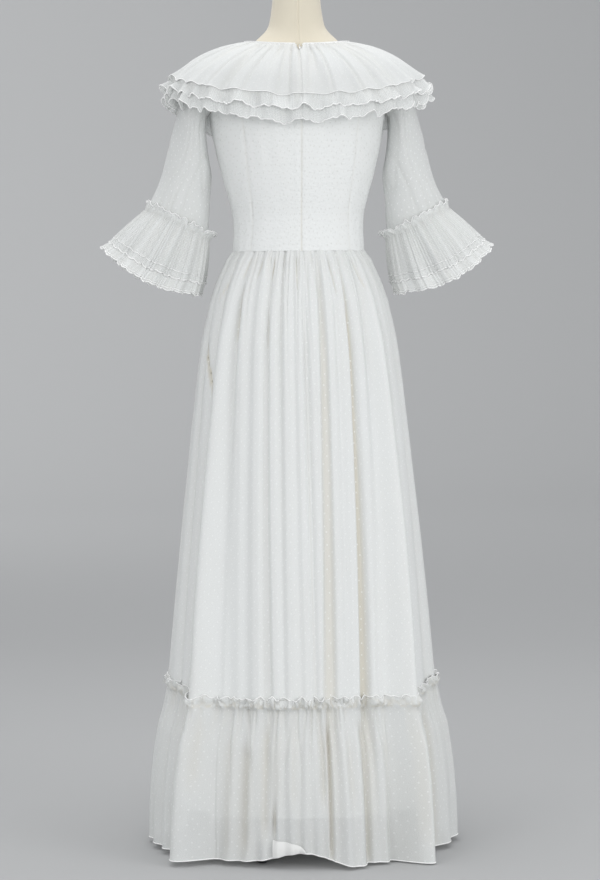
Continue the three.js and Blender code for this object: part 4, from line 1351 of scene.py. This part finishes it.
# the backdrop sweeps up far behind the gown, in metres, so that any view of it stays clear
FLOOR_NEAR, FLOOR_FAR, FLOOR_WIDTH = 16.0, -7.0, 40.0
BEND_RADIUS, WALL_HEIGHT = 4.0, 8.0
FLOOR_SHARE, BEND_SHARE = 0.25, 0.5
# place, target, size and power of each lamp
LIGHTS = (
    ("key", (2.6, 3.6, 2.4), (0, 0, 0.8), 2.2, 31),
    ("fill", (-3.0, 3.0, 1.4), (0, 0, 0.7), 2.4, 46),
    ("low", (0.3, 3.8, 0.7), (0, 0, 0.35), 1.6, 12),
    ("top", (0.2, -0.4, 3.6), (0, 0, 0.8), 2.6, 36),
    ("backdrop", (2.0, -5.5, 5.0), (1.5, -11, 2.0), 4.0, 124),
)
# the camera's angles in degrees, its place in metres, and its focal length in picture heights
VIEW = {"side": 4, "tilt": 3.585, "roll": 0.48, "distance": 4.8, "height": 1.02,
        "focal": 2697 / 880}
SENSOR = 36
AIR_COLOUR = (0.97, 0.98, 1.0, 1)
AIR_STRENGTH = 0.74


class GOWN_OT_stage(Operator):
    """Set the floor and backdrop, the soft lights and the camera."""

    bl_idname = "gown.stage"
    bl_label = "Studio"

    def execute(self, context):
        scene = context.scene
        paper, _, shader = new_material("backdrop_paper", Roughness=0.95)
        shader.inputs["Base Color"].default_value = (*colours().backdrop, 1)
        bm = bmesh.new()
        bmesh.ops.create_grid(bm, x_segments=8, y_segments=40, size=0.5)
        for vert in bm.verts:
            t = vert.co.y + 0.5
            flat = clamp(t / FLOOR_SHARE)
            turn = clamp((t - FLOOR_SHARE) / BEND_SHARE) * pi / 2
            wall = clamp((t - FLOOR_SHARE - BEND_SHARE) / (1 - FLOOR_SHARE - BEND_SHARE))
            y = lerp(FLOOR_NEAR, FLOOR_FAR, flat) - BEND_RADIUS * sin(turn)
            z = BEND_RADIUS * (1 - cos(turn)) + WALL_HEIGHT * wall
            vert.co = Vector((vert.co.x * FLOOR_WIDTH, y, z - 0.0005))
        bmesh.ops.recalc_face_normals(bm, faces=bm.faces)
        smooth_object(bm, "backdrop", paper)

        world = bpy.data.worlds.new("studio_air")
        world.use_nodes = True
        air = world.node_tree.nodes["Background"]
        air.inputs["Color"].default_value = AIR_COLOUR
        air.inputs["Strength"].default_value = AIR_STRENGTH
        scene.world = world
        for name, place, target, size, power in LIGHTS:
            data = bpy.data.lights.new(name, "AREA")
            data.shape = "DISK"
            data.size = size
            data.energy = power
            lamp = add_object(name, data)
            lamp.location = place
            aim = Vector(target) - Vector(place)
            lamp.rotation_euler = aim.to_track_quat("-Z", "Y").to_euler()
        scene.view_settings.view_transform = "Standard"
        self.camera(scene)
        return {"FINISHED"}

    def camera(self, scene):
        """Looks at the gown's back from just above the waist, a little off its middle."""
        side, tilt, roll = (radians(VIEW[name]) for name in ("side", "tilt", "roll"))
        data = bpy.data.cameras.new("camera")
        data.sensor_fit = "VERTICAL"
        data.sensor_height = SENSOR
        data.lens = VIEW["focal"] * SENSOR
        data.clip_end = 60
        camera = add_object("camera", data)
        place = Vector((sin(side), cos(side), 0)) * VIEW["distance"]
        place += AXIS + Vector((0, 0, VIEW["height"]))
        heading = Matrix.Rotation(pi - side, 4, "Z")
        rise = Matrix.Rotation(pi / 2 - tilt, 4, "X")
        lean = Matrix.Rotation(-roll, 4, "Z")
        camera.matrix_world = Matrix.Translation(place) @ heading @ rise @ lean
        scene.camera = camera


class GOWN_PT_panel(Panel):
    """Lists the pieces of the gown and the values behind them."""

    bl_idname = "GOWN_PT_panel"
    bl_label = "Gown"
    bl_space_type = "VIEW_3D"
    bl_region_type = "UI"
    bl_category = "Gown"

    def draw(self, context):
        for operator in OPERATORS:
            self.layout.operator(operator.bl_idname)
        for group in (context.scene.gown_sizes, context.scene.gown_colours):
            column = self.layout.column()
            for name in group.__annotations__:
                column.prop(group, name)


OPERATORS = (
    GOWN_OT_form, GOWN_OT_stand, GOWN_OT_bodice, GOWN_OT_skirt, GOWN_OT_flounce,
    GOWN_OT_collar, GOWN_OT_sleeves, GOWN_OT_zip, GOWN_OT_stage,
)
CLASSES = (GownSizes, GownColours, *OPERATORS, GOWN_PT_panel)


def register():
    for made in CLASSES:
        bpy.utils.register_class(made)
    bpy.types.Scene.gown_sizes = PointerProperty(type=GownSizes)
    bpy.types.Scene.gown_colours = PointerProperty(type=GownColours)


def unregister():
    del bpy.types.Scene.gown_colours
    del bpy.types.Scene.gown_sizes
    for made in reversed(CLASSES):
        bpy.utils.unregister_class(made)


def main():
    register()
    for operator in OPERATORS:
        group, name = operator.bl_idname.split(".")
        getattr(getattr(bpy.ops, group), name)()


if __name__ == "__main__":
    main()
